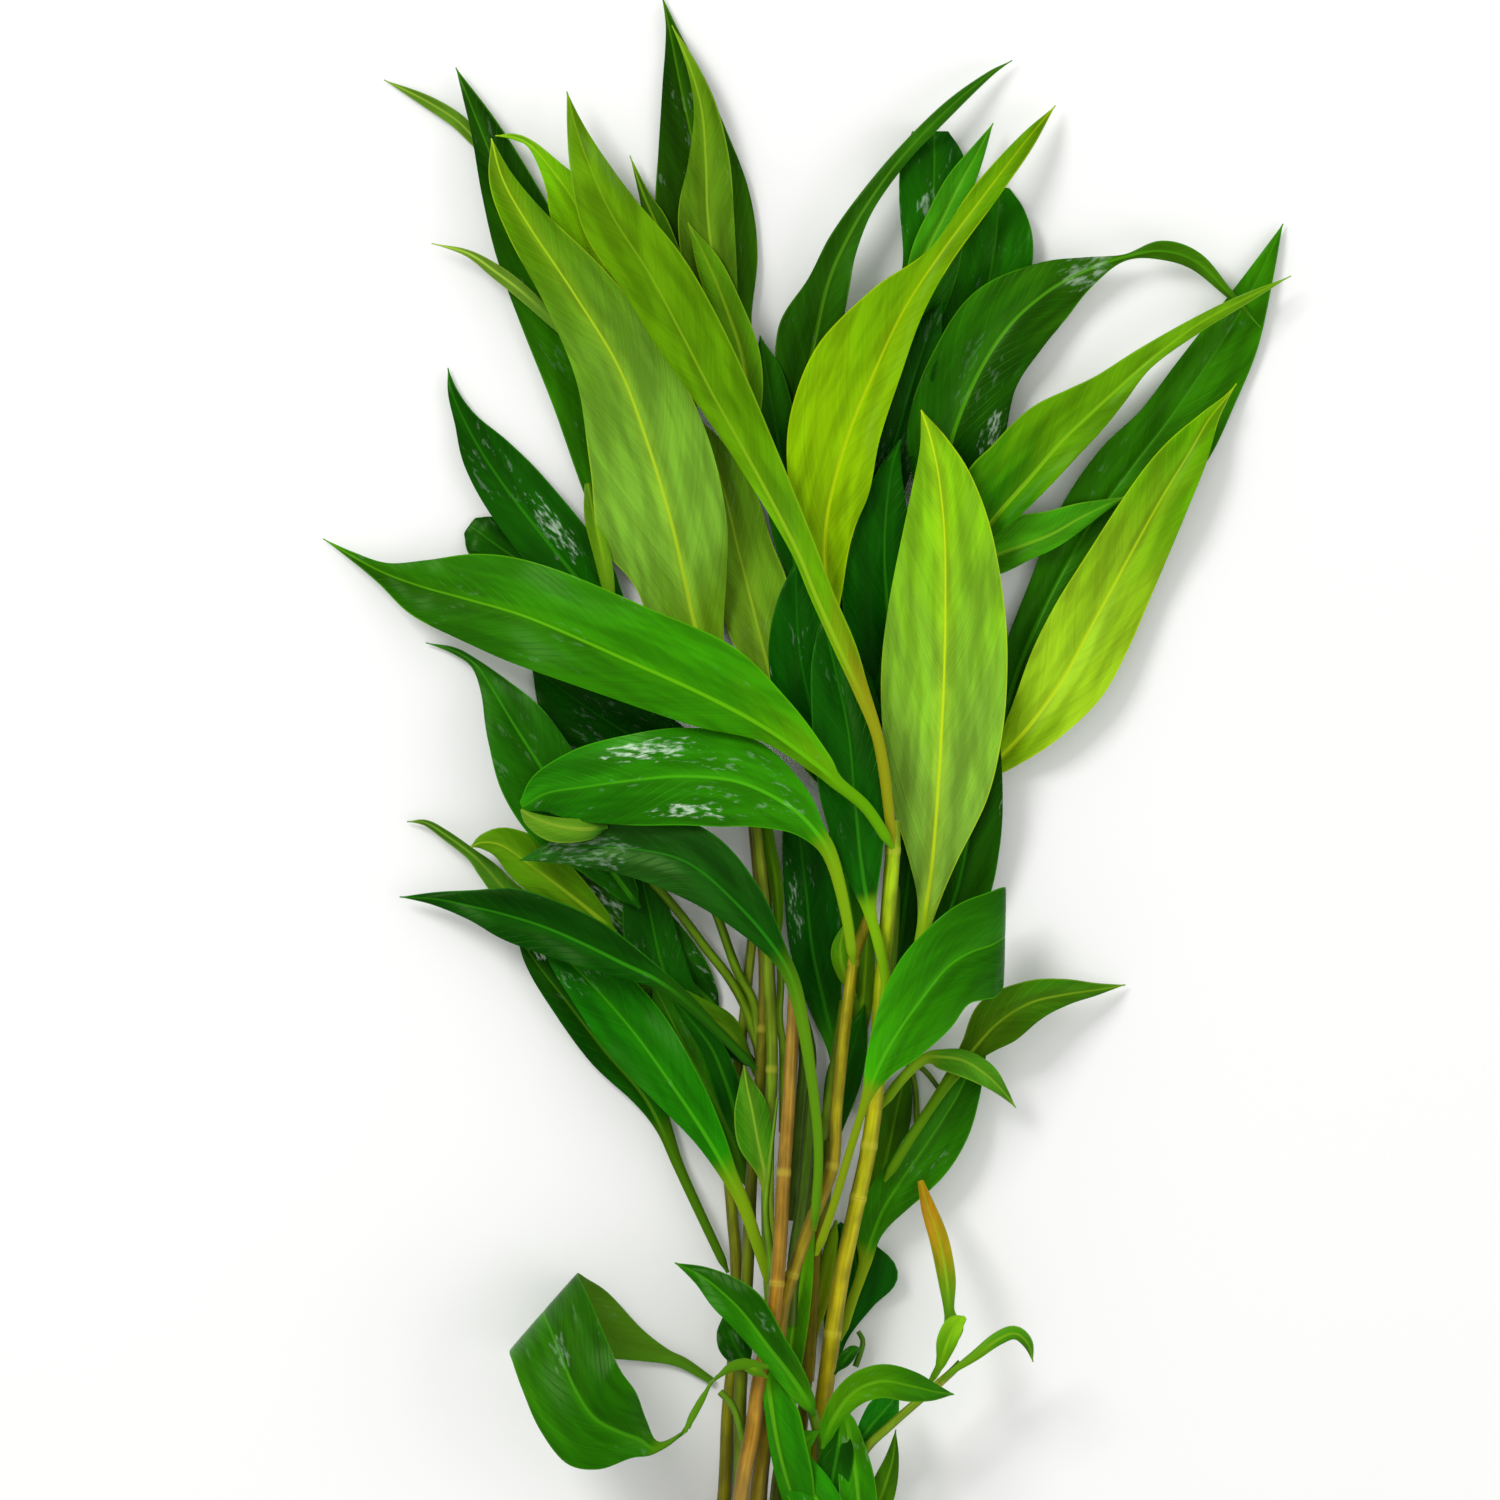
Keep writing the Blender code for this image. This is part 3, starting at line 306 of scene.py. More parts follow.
def curve_points(points, count):
    """Evenly spaced places on a smooth curve through the given points, by Catmull-Rom."""
    points = np.array(points, float)
    ends = np.vstack([2 * points[0] - points[1], points, 2 * points[-1] - points[-2]])
    dense = []
    for start in range(len(points) - 1):
        a, b, c, d = ends[start:start + 4]
        t = np.linspace(0, 1, 24, endpoint=False)[:, None]
        bent = 2 * a - 5 * b + 4 * c - d + t * (3 * (b - c) + d - a)
        dense.append(b + 0.5 * t * (c - a + t * bent))
    dense = np.vstack(dense + [points[-1:]])
    steps = np.linalg.norm(np.diff(dense[:, :3], axis=0), axis=1)
    along = np.concatenate([[0], np.cumsum(steps)])
    wanted = np.linspace(0, along[-1], count)
    found = [np.interp(wanted, along, dense[:, k]) for k in range(dense.shape[1])]
    return np.column_stack(found), wanted


# Leaves: name, look, then from the stalk's foot to the tip (right, up, rise, left and right width as
# seen from above), then how steeply the left and right halves climb towards their margins. One width
# stands for both. The look is the colours at the foot, in the middle, at the tip and of the midrib,
# how rough the gloss is, and how strongly painted glints speckle the leaf.
# Ribbons are leaves that fold back over themselves: name, look, then the left margin's and the right
# margin's (right, up) and the rise, from the stalk's foot to the tip.
# Stems: name, look, route from the cut end up, radius at the cut end and at the top. The look is the
# colours at the cut end, in the middle and at the top, and where rings sit, in millimetres up from
# the lower edge of the square.
# The list runs from the back of the bunch to its front: each piece lies on those before it.
PIECES = [
    ("leaf_thin_pale_top_left", ("4f7a19 5d8a1d 3c6b13 86a832", 0.5, 0.0),
     [(148, 306, 0, 1), (136, 321, 1, 1), (128, 331, 1, 1.2), (119.5, 339.5, 2, 1.7), (114, 345, 2, 1.9),
      (106, 350, 1, 1.5), (96, 355, 0, 0)], (0.3, 0.9)),
    ("leaf_broad_dark_top_left", ("2c7404 2e7404 082e02 4a9412", 0.38, 0.1),
     [(156, 236, 0, 1.2), (152, 250, 1, 5), (146, 277, 3, 8.5, 8), (139, 296, 4, 9),
      (132, 313, 4, 8.2, 9.5), (126, 328, 3, 5.8, 7.5), (120, 343, 2, 2.4, 4.5), (114, 358, 0, 0)],
     (0.25, 0.1)),
    ("leaf_lower_pale_left", ("5f8f24 6f9e2b 4a7a1d 9dbf3e", 0.5, 0.0),
     [(150, 284, 0, 1), (138, 295, 1, 1.6), (131, 301.5, 2, 1.9), (124.5, 306.5, 2, 1.7, 1.9),
      (117, 311.5, 1, 0.9), (108, 314, 0, 0)], (0.2, 0.8)),
    ("leaf_small_round_left", ("0c4a02 124e02 0e4202 307e0a", 0.35, 0.1),
     [(150, 222, 0, 1.2), (138, 229, 2, 4), (128, 236, 3, 6), (121, 241, 3, 6, 5.5),
      (117.5, 243.5, 1, 2.5)], (0.1, -0.2)),
    ("leaf_dark_left", ("0c4402 104e03 0a3e02 2c7e0d", 0.26, 0.2),
     [(158, 214, 0, 1.2), (150, 223, 2, 6, 7), (143, 232, 3, 7.5, 9.5), (129, 249.5, 4, 7, 9.4),
      (121, 261, 3, 5.5, 7), (116, 270, 2, 2.5, 3.2), (113, 277, 1, 1, 1.5), (112, 283, 0, 0)],
     (0.3, 0.1)),
    ("leaf_dark_top_centre", ("2c6803 2a5803 0e3e02 5a960f", 0.35, 0.2),
     [(184, 266, 0, 1.2), (182, 280, 1, 6), (180, 295, 3, 9, 8), (178, 310, 4, 11.5),
      (176, 325, 4, 12.3, 11.5), (173, 340, 3, 8.5, 9), (170, 354, 2, 4.5, 6), (167.5, 367, 1, 1, 2.2),
      (165.5, 376, 0, 0)], (0.1, 0.1)),
    ("leaf_spike_top_centre", ("5d9a09 4d8c08 143f09 8fc01a", 0.45, 0.0),
     [(178, 284, 0, 1), (170, 303, 1, 3), (164.5, 318, 2, 3), (161, 326, 1, 1.2, 1.6),
      (157.5, 336, 0, 0)], (0.2, 0.4)),
    ("leaf_glossy_top_centre", ("507c0f 4a7010 4a7408 84aa22", 0.42, 0.1),
     [(182, 278, 0, 1.2), (180.5, 290, 1, 5, 4), (178.8, 305, 3, 7.5, 5.5), (177, 321, 4, 7.5, 6.5),
      (176.5, 334, 4, 4.5, 6), (175.5, 347, 3, 2, 4), (172.5, 358, 2, 0.8, 2), (168, 368.5, 0, 0)],
     (0.1, 0.3)),
    ("leaf_broad_dark_back_right", ("0c5202 1e6a02 186202 38840e", 0.35, 0.1),
     [(232, 262, 0, 1.2), (238, 278, 2, 7), (245, 296, 3, 9, 9.5), (248.5, 312, 4, 9, 9.8),
      (249.5, 322, 3, 6.5, 7), (250, 328, 1, 2.5)], (0.1, 0.1)),
    ("leaf_round_top_right", ("0c5002 1c6802 0c4a02 38840e", 0.28, 0.3),
     [(222, 276, 0, 1.2), (227, 292, 2, 5, 6), (231, 308, 4, 5.5, 8.5), (233, 324, 6, 8.3, 8.5),
      (233.5, 335, 6, 8.3, 7.5), (233.5, 342, 3, 5.5, 3.5)], (0.1, -0.2)),
    ("leaf_narrow_top_right", ("2f7f0b 3a8c0c 2c7a0a 62a918", 0.4, 0.0),
     [(226, 298, 0, 1), (231, 311, 1, 3.5), (236, 321, 2, 4), (240, 329, 3, 3.6), (244, 336, 2, 2.2, 2),
      (248.2, 344, 0, 0)], (0.3, 0.3)),
    ("leaf_long_narrow_top_right", ("184402 1c4c03 246006 4c8414", 0.42, 0.1),
     [(199, 262, 0, 1.2), (201, 276, 2, 7, 6), (204, 291.5, 4, 9.5, 6), (207, 304, 5, 5, 5.5),
      (211, 313.5, 5, 4.2, 3.5), (217, 324, 5, 3, 2), (226, 336, 4, 2.2, 1.8), (237, 347.5, 3, 1.8),
      (247, 356, 1, 0.8), (253, 359.8, 0, 0)], (0.2, 0.7)),
    ("leaf_broad_dark_right", ("053802 246402 2c6e02 42940a", 0.34, 0.1),
     [(247, 176, 0, 1.2), (250, 190, 1, 3), (254, 206, 2, 5), (262, 225, 3, 6, 7), (272, 243, 4, 8.5, 11),
      (282, 257, 5, 9, 13), (290.5, 268, 5, 7, 14), (299, 280, 5, 6.5, 11.5), (307, 292, 4, 5.5, 8.5),
      (315, 306.5, 2, 3, 3.5), (320.7, 319, 0, 0)], (0.3, 0.05)),
    ("leaf_small_pointed_right", ("3a8c0b 3f900b 2f7f0a 79b620", 0.4, 0.0),
     [(238, 230, 0, 1.2), (248, 235.5, 2, 7, 4.5), (256, 238.7, 3, 7.5, 4), (263, 241.5, 3, 6, 3.5),
      (271, 246, 2, 3.5, 2.5), (281.2, 250.8, 0, 0)], (0.2, 0.3)),
    ("leaf_twisted_dark_right", ("144e02 1c5402 3c6c08 4c940d", 0.3, 0.1),
     [(232, 244, 0, 1.2), (236, 257, 1, 9, 10), (239, 268.8, 3, 12, 12.5), (245, 282.5, 5, 12.5, 10),
      (252.5, 293.8, 7, 12, 10), (262.5, 302.5, 8, 7.5, 8), (272, 307.5, 8, 3.2, 4),
      (281, 310.5, 7, 0.7, 1), (290, 312, 6, 2.6, 2.2), (298.5, 309.5, 4, 2.4, 2.2), (306.5, 302, 2, 1.2),
      (315, 293, 0, 0)], (0.25, 0.05)),
    ("leaf_light_pointed_right", ("2c7a02 528803 5c8e0b 82b817", 0.42, 0.0),
     [(243, 238, 0, 1.2), (250, 247, 2, 12, 4), (257.5, 255.5, 3, 12.5, 5), (265, 264.3, 4, 11.5, 5.5),
      (272, 271, 5, 8.5, 5), (278, 276.5, 5, 6, 3.8), (287, 284.5, 5, 4, 1.6), (299, 293.5, 3, 2),
      (310, 299.5, 2, 1.4), (322.5, 305.8, 0, 0)], (0.15, 0.5)),
    ("leaf_bright_right", ("84b806 92bc1c 4e8c02 b8d418", 0.42, 0.0),
     [(232, 173, 0, 1.2), (243, 180, 1, 1.4, 1.6), (250.5, 186, 3, 3, 4), (258, 194.5, 5, 6.5, 7.5),
      (266, 206, 7, 10, 10.6), (272.5, 218, 8, 10.5, 10.8), (279, 230, 8, 9.7, 9.6),
      (290, 250, 7, 8, 7.2), (297, 261.5, 5, 6, 5), (302, 270, 3, 2.5), (306, 275, 2, 0.8),
      (309, 279, 0, 0)], (0.2, 0.2)),
    ("leaf_dark_behind_centre", ("053a02 0a5002 0e5202 2a7c0b", 0.35, 0.0),
     [(224, 198, 0, 1.2), (223, 212, 1, 9, 6), (221.5, 226, 2, 11, 8), (221, 240, 3, 8, 7),
      (222.5, 256, 2, 3.5, 3), (225, 265, 0, 0)], (0.1, 0.1)),
    ("leaf_yellow_green_right", ("74a002 82b002 4c8404 b4cc0b", 0.4, 0.0),
     [(214, 178, 0, 1.2), (208, 210, 1, 1.2), (206.5, 230, 2, 3, 4.5), (206.5, 243, 3, 6.5, 7),
      (208.5, 254, 4, 12, 9), (212.5, 267.5, 6, 15.5, 7.8), (218.8, 282.5, 8, 15.5, 6.5),
      (226, 297.5, 9, 9.5, 4.8), (234.5, 310.5, 9, 3, 3.5), (246, 326, 7, 3.4, 3.2),
      (256, 339, 4, 2, 2.4), (263.8, 348.5, 0, 0)], (0.1, 0.5)),
    ("leaf_glossy_strip_centre", ("5c8c14 6c981f 50800f 9cc229", 0.42, 0.1),
     [(204, 180, 0, 1.2), (197, 193, 1, 1.3), (193, 205, 2, 3), (190, 216, 3, 7, 6.5),
      (187.5, 226, 4, 8, 9.8), (184.5, 238, 4, 8.5), (181.8, 249.5, 4, 8, 7.5), (178, 262, 2, 4),
      (175, 270, 0, 0)], (0.1, 0.15)),
    ("leaf_bright_curled_left", ("7cac07 8cc008 5a9a04 a0cc1d", 0.42, 0.0),
     [(176, 256, 0, 1.2), (168, 275, 2, 6), (160, 292, 5, 7.5, 8.5), (151, 308, 7, 8, 9),
      (144, 323.5, 8, 7, 5.5), (138.5, 331.5, 7, 3.2, 3), (133, 338, 5, 0.8, 1.4),
      (128.5, 340.3, 3, 0.6, 1), (124, 340.8, 1, 0)], (0.15, 0.15)),
    ("leaf_large_pale_left", ("6a9c15 70a22e 4c7c03 a8c822", 0.5, 0.0),
     [(186, 190, 0, 1.3), (178, 206, 2, 5, 4), (174, 218, 4, 10.3, 7.2), (171, 231, 6, 12.5, 11),
      (168, 244, 8, 18.5, 13.8), (162.5, 262.5, 10, 15.6, 14.7), (155, 282.5, 11, 11.4, 12.5),
      (143.8, 301, 10, 7.8, 9.7), (132.5, 318, 7, 5.8, 5.3), (126, 329.5, 4, 3.6, 2.8), (123, 340, 0, 0)],
     (-0.1, 0.15)),
    ("leaf_hanging_glossy_centre", ("2a7404 064a03 0c5409 2c7e12", 0.3, 0.2),
     [(209.5, 100, 0, 1.2), (208.5, 112, 1, 1.5), (206, 124, 2, 4, 4.5), (203, 138, 4, 5.5, 7.3),
      (201.5, 152, 5, 5.5, 7.8), (200, 165, 4, 4.5), (198, 176, 1, 2), (196, 184, 0, 0)], (0.3, 0.1)),
    ("leaf_dark_right_middle", ("0c4402 184a02 104002 2c7e0f", 0.3, 0.4),
     [(224, 118, 0, 1.2), (232, 135, 1, 5), (238.5, 150, 3, 7, 8), (242, 165, 4, 8),
      (244, 180, 4, 7, 6.5), (245, 195, 2, 4), (245, 205, 0, 0)], (0.1, 0.1)),
    ("stem_left", ("746e0c 74760c 6f8410", (36, 88)),
     [(177, -44), (181, 0), (182, 22), (184, 42), (184, 60), (183, 72), (182, 90), (185, 112),
      (188, 140)], 1.9, 1.2),
    ("leaf_dark_upright_left", ("0a4402 0e4e04 0c4604 2c760e", 0.34, 0.1),
     [(190, 108, 0, 1.2), (179, 116, 1, 3), (170.5, 124, 2, 6, 5), (165.5, 134, 3, 8, 6),
      (162.5, 147, 3, 7, 5), (160, 158, 2, 3.5), (158.5, 165, 0, 0)], (0.1, 0.1)),
    ("leaf_thin_curled_left", ("3c7a13 4a841a 234f0b 7aa829", 0.42, 0.0),
     [(148, 138, 0, 1.2), (136, 146, 1, 2.5), (127, 152, 2, 3), (122, 157.5, 3, 2.6, 2.4),
      (118, 161.5, 4, 1.6, 1.4), (111.5, 166.3, 4, 1.3, 1.2), (106.5, 169.3, 2, 0.8),
      (101.8, 169.6, 0, 0)], (0.2, 0.5)),
    ("leaf_olive_left", ("447c08 4c8008 447806 84a81c", 0.42, 0.0),
     [(154, 142, 0, 1.2), (143, 151, 1, 5), (133, 158.5, 3, 5.5, 7), (126, 163.5, 3, 3.5, 5),
      (121, 164.5, 2, 1.8, 2.2), (117.8, 163.3, 0, 0)], (0.2, 0.1)),
    ("leaf_dark_folded_left", ("0e5002 1c6203 1c5409 3c9412", 0.4, 0.1),
     [(160, 148, 0, 1.2), (151, 160, 1, 6), (143, 171, 3, 11, 9), (135.5, 183, 5, 11.5, 9),
      (128.5, 194, 5, 7.5, 8), (123, 203, 4, 3, 4.2), (119, 208.8, 3, 1.2, 1.4),
      (113.5, 212.3, 1, 0.8, 0.9), (106.5, 214.3, 0, 0)], (0.2, 0.2)),
    ("leaf_olive_low_left", ("3c6406 3c6806 2a5c06 5c8410", 0.42, 0.0),
     [(190, 104, 0, 1), (187, 111, 1, 1), (181.5, 118, 2, 3.5), (174, 122.5, 3, 5, 3.5),
      (165, 128, 3, 4, 2.5), (157, 132.5, 2, 1.5), (150, 136, 0, 0)], (0.2, 0.2)),
    ("leaf_back_low_left", ("446c08 0c4e02 064002 508c14", 0.28, 0.2),
     [(182, 57, 0, 1.1), (174, 74, 1, 1.2, 1.3), (169.3, 84, 1, 1.2, 1.6), (165.3, 93, 2, 1.4, 2.8),
      (160.5, 101.5, 3, 3, 5), (151, 112.5, 4, 4.5, 6.5), (141, 125.5, 5, 4, 5.5),
      (134, 134.5, 4, 2.6, 3.5), (129, 142, 0, 0)], (0.3, -0.1)),
    ("stem_left_inner", ("5c7c09 62700b 74700a", (71, 118)),
     [(183, -45), (185, 0), (185, 24), (186, 42), (187, 60), (188, 83), (190, 105), (191, 130),
      (190, 150), (188, 172)], 1.8, 1.3),
    ("stem_centre", ("74600a 6a9410 6c7e0c", (108, 146)),
     [(189, -46), (190, 0), (192, 20), (193, 42), (192, 65), (192, 88), (193, 111), (192, 133),
      (191, 150), (188, 178)], 1.9, 1.3),
    ("leaf_pale_small_low", ("7c9820 3f8410 2f7008 8ab030", 0.42, 0.0),
     [(193.5, 64, 0, 0.9), (192.3, 74, 1, 1), (191.2, 82, 1, 2, 2.2), (189.5, 90, 2, 5, 3.5),
      (188, 98, 3, 4.5, 4), (186.7, 104, 2, 2, 2.2), (186, 109, 0, 0)], (0.2, 0.2)),
    ("leaf_bright_low_left", ("7c9c10 187002 0c5803 42a00e", 0.34, 0.2),
     [(193, 53, 0, 1.3), (190.5, 61, 1, 1.4), (186, 74, 2, 1.6, 1.8), (182, 82, 3, 2, 2.4),
      (176.5, 91.5, 4, 3.2, 4.6), (169.5, 102, 5, 5.5, 6.8), (159, 116.5, 6, 8.3, 8.6),
      (148.5, 128.5, 6, 6.5, 8), (139.5, 137.5, 4, 3.5, 4), (134, 143, 0, 0)], (0.2, 0.15)),
    ("leaf_dark_pointed_low_left", ("1c4c05 064002 053602 2c840c", 0.36, 0.05),
     [(189, 108, 0, 1.2), (180, 117, 1, 1.2, 1.3), (171, 125.5, 3, 1.6, 2), (164, 130.5, 4, 2.2, 3),
      (156, 134.3, 5, 3.6, 5.3), (146.5, 139, 6, 5.6, 7), (136.5, 143.3, 6, 6.6, 7.2),
      (127, 146.3, 5, 6, 7), (118, 148.5, 4, 3.4, 4.2), (109, 150.3, 2, 1.6, 1.8), (100, 150.8, 0, 0)],
     (0.2, 0.1)),
    ("leaf_dark_folded_behind_low", ("125608 0f5208 0d4a07 2f8012", 0.36, 0.0),
     [(208, 30, 0, 1.2), (210, 40, 1, 4, 1.6), (212.5, 50, 2, 7, 6), (214, 57, 3, 8, 10.5),
      (213.5, 62, 3, 7, 6), (211.5, 67, 2, 4.5, 1.5), (210, 69, 0, 1, 0.5)], (0.1, 0.1)),
    ("leaf_long_hanging_right", ("849c14 286c03 1a5a03 4a9c0e", 0.34, 0.2),
     [(210, 40, 0, 1.2), (213, 50, 1, 1.3), (216, 59, 2, 1.6), (218.5, 67, 3, 5, 2), (222, 75, 5, 5.5, 5),
      (229.5, 86, 7, 5.6, 8), (235.5, 95, 8, 5.6, 7.6), (240, 102.5, 7, 5.2), (244.5, 113.5, 4, 2.6, 2.2),
      (247, 122.5, 0, 0)], (0.25, 0.1)),
    ("leaf_olive_pointed_right", ("4e7c07 446e03 2a6406 84a81d", 0.42, 0.0),
     [(221, 80, 0, 1.2), (229, 93, 1, 1.2), (237, 105, 1, 1.6), (243, 112.5, 2, 3.5, 3),
      (249.5, 119.5, 4, 7, 6), (257.5, 124.5, 5, 5.6, 5), (266, 126.5, 5, 4, 2.8),
      (274, 127.6, 3, 1.8, 1.3), (281.3, 128.8, 0, 0)], (0.2, 0.2)),
    ("leaf_small_folded_right", ("7aa416 4a9014 3f7f14 8ab829", 0.42, 0.0),
     [(220, 98, 0, 1.3), (225, 105, 1, 1.3), (231, 110.5, 3, 1.3, 1.4), (235.5, 111, 5, 2, 3.3),
      (241, 110, 6, 2.8, 4), (246.5, 106.5, 5, 2.8, 3), (250.5, 102.5, 3, 1.3, 1.5), (253.8, 98.3, 0, 0)],
     (0.3, 0.2)),
    ("stem_middle", ("80700c 8c7810 9c9408", (57, 84, 134.5)),
     [(184, -48), (189, 0), (191, 15), (194, 35), (196, 50), (199, 60), (203, 71), (208, 84), (209, 98),
      (211, 117), (213, 133), (214.6, 139), (217, 146)], 2.0, 1.4),
    ("stem_front_tan", ("ac8c3c 9c7014 967628", (55, 82.5)),
     [(181, -49), (185, 0), (188, 18), (190, 32), (193, 45), (194, 53), (195, 65), (196, 84), (197, 98),
      (198, 116), (198.6, 127.5)], 2.1, 1.6),
    ("leaf_grey_sheen_left", ("5c8c10 063e02 1c4c10 247c10", 0.3, 0.0),
     [(203.5, 68, 0, 1.2), (204.5, 88, 1, 1.2), (202.5, 108, 2, 1.4), (199, 127, 3, 1.8),
      (194.5, 137, 4, 2.5), (184.5, 149, 6, 5.5, 7), (172, 159.5, 7, 8.5, 9.5), (158, 163, 7, 7, 8),
      (145, 163, 5, 4.5, 5), (136, 161.5, 3, 2), (130, 160, 0, 0)], (0.1, 0.1)),
    ("leaf_large_central", ("88b414 7cac38 78b410 c4dc1a", 0.45, 0.0),
     [(218, 98, 0, 1.3), (224, 118, 1, 1.3), (229.5, 138, 3, 1.4, 1.5), (231.5, 149, 4, 2.2, 3),
      (233, 160, 6, 6), (234.3, 176, 8, 12, 12.3), (235.2, 191, 10, 14.6, 15), (235.9, 206, 11, 15.7),
      (236.2, 222, 11, 14.4, 14.9), (236, 240, 10, 10.9, 12), (234.7, 254, 8, 6.8, 8.3),
      (232.8, 264, 5, 3, 4), (230.2, 272.3, 0, 0)], (-0.05, 0.05)),
    ("stem_right_yellow", ("a08a0e aca208 94b804", (42, 76, 89, 162.5)),
     [(202, -48), (204, 0), (205, 18), (207, 34), (210, 55), (214, 74), (217, 88), (219, 104), (220, 124),
      (222, 148), (223, 162), (223, 170)], 2.3, 1.9),
    ("leaf_dark_upright_centre", ("7cb00c 0c5204 0a4803 2c800f", 0.34, 0.1),
     [(218.4, 111, 0, 1.3), (220.4, 121, 1, 1.3), (221.3, 130, 2, 1.3), (219.6, 138.5, 3, 1.3, 1.4),
      (217, 148, 3, 1.6, 2), (215, 161, 3, 5.5), (213.5, 176, 4, 8.5, 8), (212, 192, 4, 9, 6.5),
      (208.5, 208.5, 3, 6, 3), (206.5, 217, 2, 2.5, 1.2), (205.5, 223.8, 0, 0)], (0.15, 0.15)),
    ("leaf_long_bright_centre", ("8c8c12 589003 548004 88b41a", 0.42, 0.0),
     [(223, 163, 0, 1.2), (221, 181, 1, 1.4), (218.8, 192, 2, 1.4, 1.5), (214.5, 202.5, 3, 1.4, 2.6),
      (209.8, 212.5, 5, 1.4, 4.2), (204, 225.5, 7, 1.4, 4.4), (198.5, 238.5, 9, 1.6, 5),
      (187.5, 259.5, 11, 3, 7.3), (178.8, 275, 12, 4.5, 9.3), (170, 292, 12, 7, 9.9),
      (162.5, 306, 12, 8, 9.2), (153.5, 320, 10, 8.2, 7.2), (147.5, 333, 6, 5, 4.4),
      (144, 343, 3, 2.2, 2), (141.8, 351.8, 0, 0)], (0.2, 0.3)),
    ("leaf_speckled_crossing", ("7ca00f 2c8004 1c6a04 4cae12", 0.28, 0.25),
     [(213.3, 134, 0, 1.3), (211.3, 147, 2, 1.4), (208, 160, 3, 1.8), (204, 167, 5, 3.2, 2.5),
      (197, 173.7, 8, 7, 6.5), (185, 179.5, 10, 11.5, 11.3), (171.5, 181, 11, 12.2, 12),
      (158.5, 180, 11, 11.3), (146, 178.3, 9, 8.8, 9.7), (137, 176.8, 6, 5.5, 6),
      (131, 173.5, 3, 1.2, 1.5)], (-0.1, -0.15)),
    ("leaf_large_crossing", ("5c9a06 348c04 206002 62b00a", 0.34, 0.1),
     [(223, 163, 0, 1.3), (216.5, 173, 2, 1.5), (209, 179.5, 4, 1.8), (204.5, 183.5, 6, 2.2, 4),
      (192, 192.5, 9, 3.4, 9), (177, 200.7, 12, 8, 14), (156.5, 210, 14, 10.2, 14),
      (133, 220.2, 14, 12, 13.6), (118, 224.8, 12, 10.2, 12), (105.5, 228.3, 9, 7.6, 7),
      (96, 231.8, 6, 3, 2.6), (88, 236, 3, 1, 1.1), (80.8, 240.3, 0, 0)], (0.15, -0.05)),
    ("leaf_dark_broad_right", ("7c8c0c 369604 1c5e03 4caa0f", 0.34, 0.1),
     [(202.8, 62, 205.2, 62, 0), (207, 74, 209.5, 75, 1), (211.5, 89, 214, 90, 2),
      (215, 101, 217.6, 100.5, 4), (216.5, 112, 223, 107, 6), (219.5, 124, 229, 111, 8),
      (224.5, 135, 237, 118, 10), (231.5, 143, 241.5, 124, 11), (239, 149, 245.3, 125.3, 11),
      (246.5, 152, 248.5, 126, 10), (251, 153.4, 250.5, 128.5, 7), (249.8, 150.5, 249.6, 130.5, 4),
      (244, 147, 243, 131, 2.4)]),
    ("leaf_dark_low_right", ("0f6409 15700e 0f6409 3f9a16", 0.34, 0.1),
     [(208, 8, 0, 1), (214, 14, 1, 1.3), (217.5, 19, 2, 3, 3.3), (221, 23, 3, 4), (224, 26.5, 0, 1)],
     (0.1, 0.1)),
    ("stem_side_thin", ("76900b 7a9c10 80a814", (30,)),
     [(200, -20), (208, 0), (216, 13), (222, 19), (230, 26), (237, 32), (240, 35)], 1.4, 1.0),
    ("leaf_thin_hanging", ("4c8410 5c8c10 a46c0c 8ab020", 0.42, 0.0),
     [(231.5, 29, 0, 0.9), (234.5, 34, 1, 1), (236.3, 40, 2, 1.3, 2.4), (237.3, 44.5, 2, 1.6, 3.4),
      (237, 48, 2, 1.3, 1.4), (236.4, 56, 3, 2.2, 2.3), (234.6, 65.5, 3, 2.4), (232, 73, 2, 1.8, 2),
      (230, 80, 0, 0.8)], (0.3, 0.3)),
    ("leaf_small_arched", ("5c9010 468610 347a0c 7cac1c", 0.42, 0.0),
     [(234.5, 30.5, 0, 0.7), (238, 33.3, 1, 0.7, 0.8), (243.5, 37, 2, 1.4, 1.2), (249, 41, 3, 1.9, 1.5),
      (253.3, 42.6, 4, 1.9, 1.5), (256.5, 40, 3, 1.4, 1.2), (257.9, 35.3, 0, 0)], (0.2, 0.4)),
    ("stem_short_cut", ("80740f 6a900b 5c8c09", (8,)),
     [(206, 7), (205, 15), (203, 23)], 1.5, 1.3),
    ("leaf_low_right", ("3a8404 2a7e04 1c7004 58a414", 0.34, 0.2),
     [(211, 24, 0, 1.2), (212.5, 16, 1, 3), (214, 6, 2, 4.5), (215, -5, 3, 4.5), (216, -15, 2, 3),
      (217, -25, 0, 0)], (0.2, 0.2)),
    ("leaf_low_centre", ("3a8a04 248006 187004 58ac14", 0.3, 0.3),
     [(204.5, 18, 0, 1.2), (200.5, 15, 2, 2.5, 3.5), (199.5, 10, 3, 4, 5), (203, 3, 4, 5.5, 6),
      (208, -5, 3, 5), (213, -13, 2, 2.8), (217, -20, 0, 0)], (0.2, 0.2)),
    ("leaf_low_left_tip", ("3c8407 267404 1a6002 48980c", 0.3, 0.1),
     [(203.5, 22, 0, 1.2), (201, 27, 2, 2.6, 2.3), (197, 33, 3, 3.4, 3.8), (192, 39.5, 5, 3.5, 4.8),
      (186, 47.5, 6, 4.3, 6.2), (181, 52.5, 5, 4.3, 5), (175.5, 56.8, 3, 2.5, 2.6), (168.8, 60, 0, 0)],
     (0.2, 0.1)),
    ("leaf_low_arched_right", ("347c03 448203 226c04 5c9c10", 0.36, 0.1),
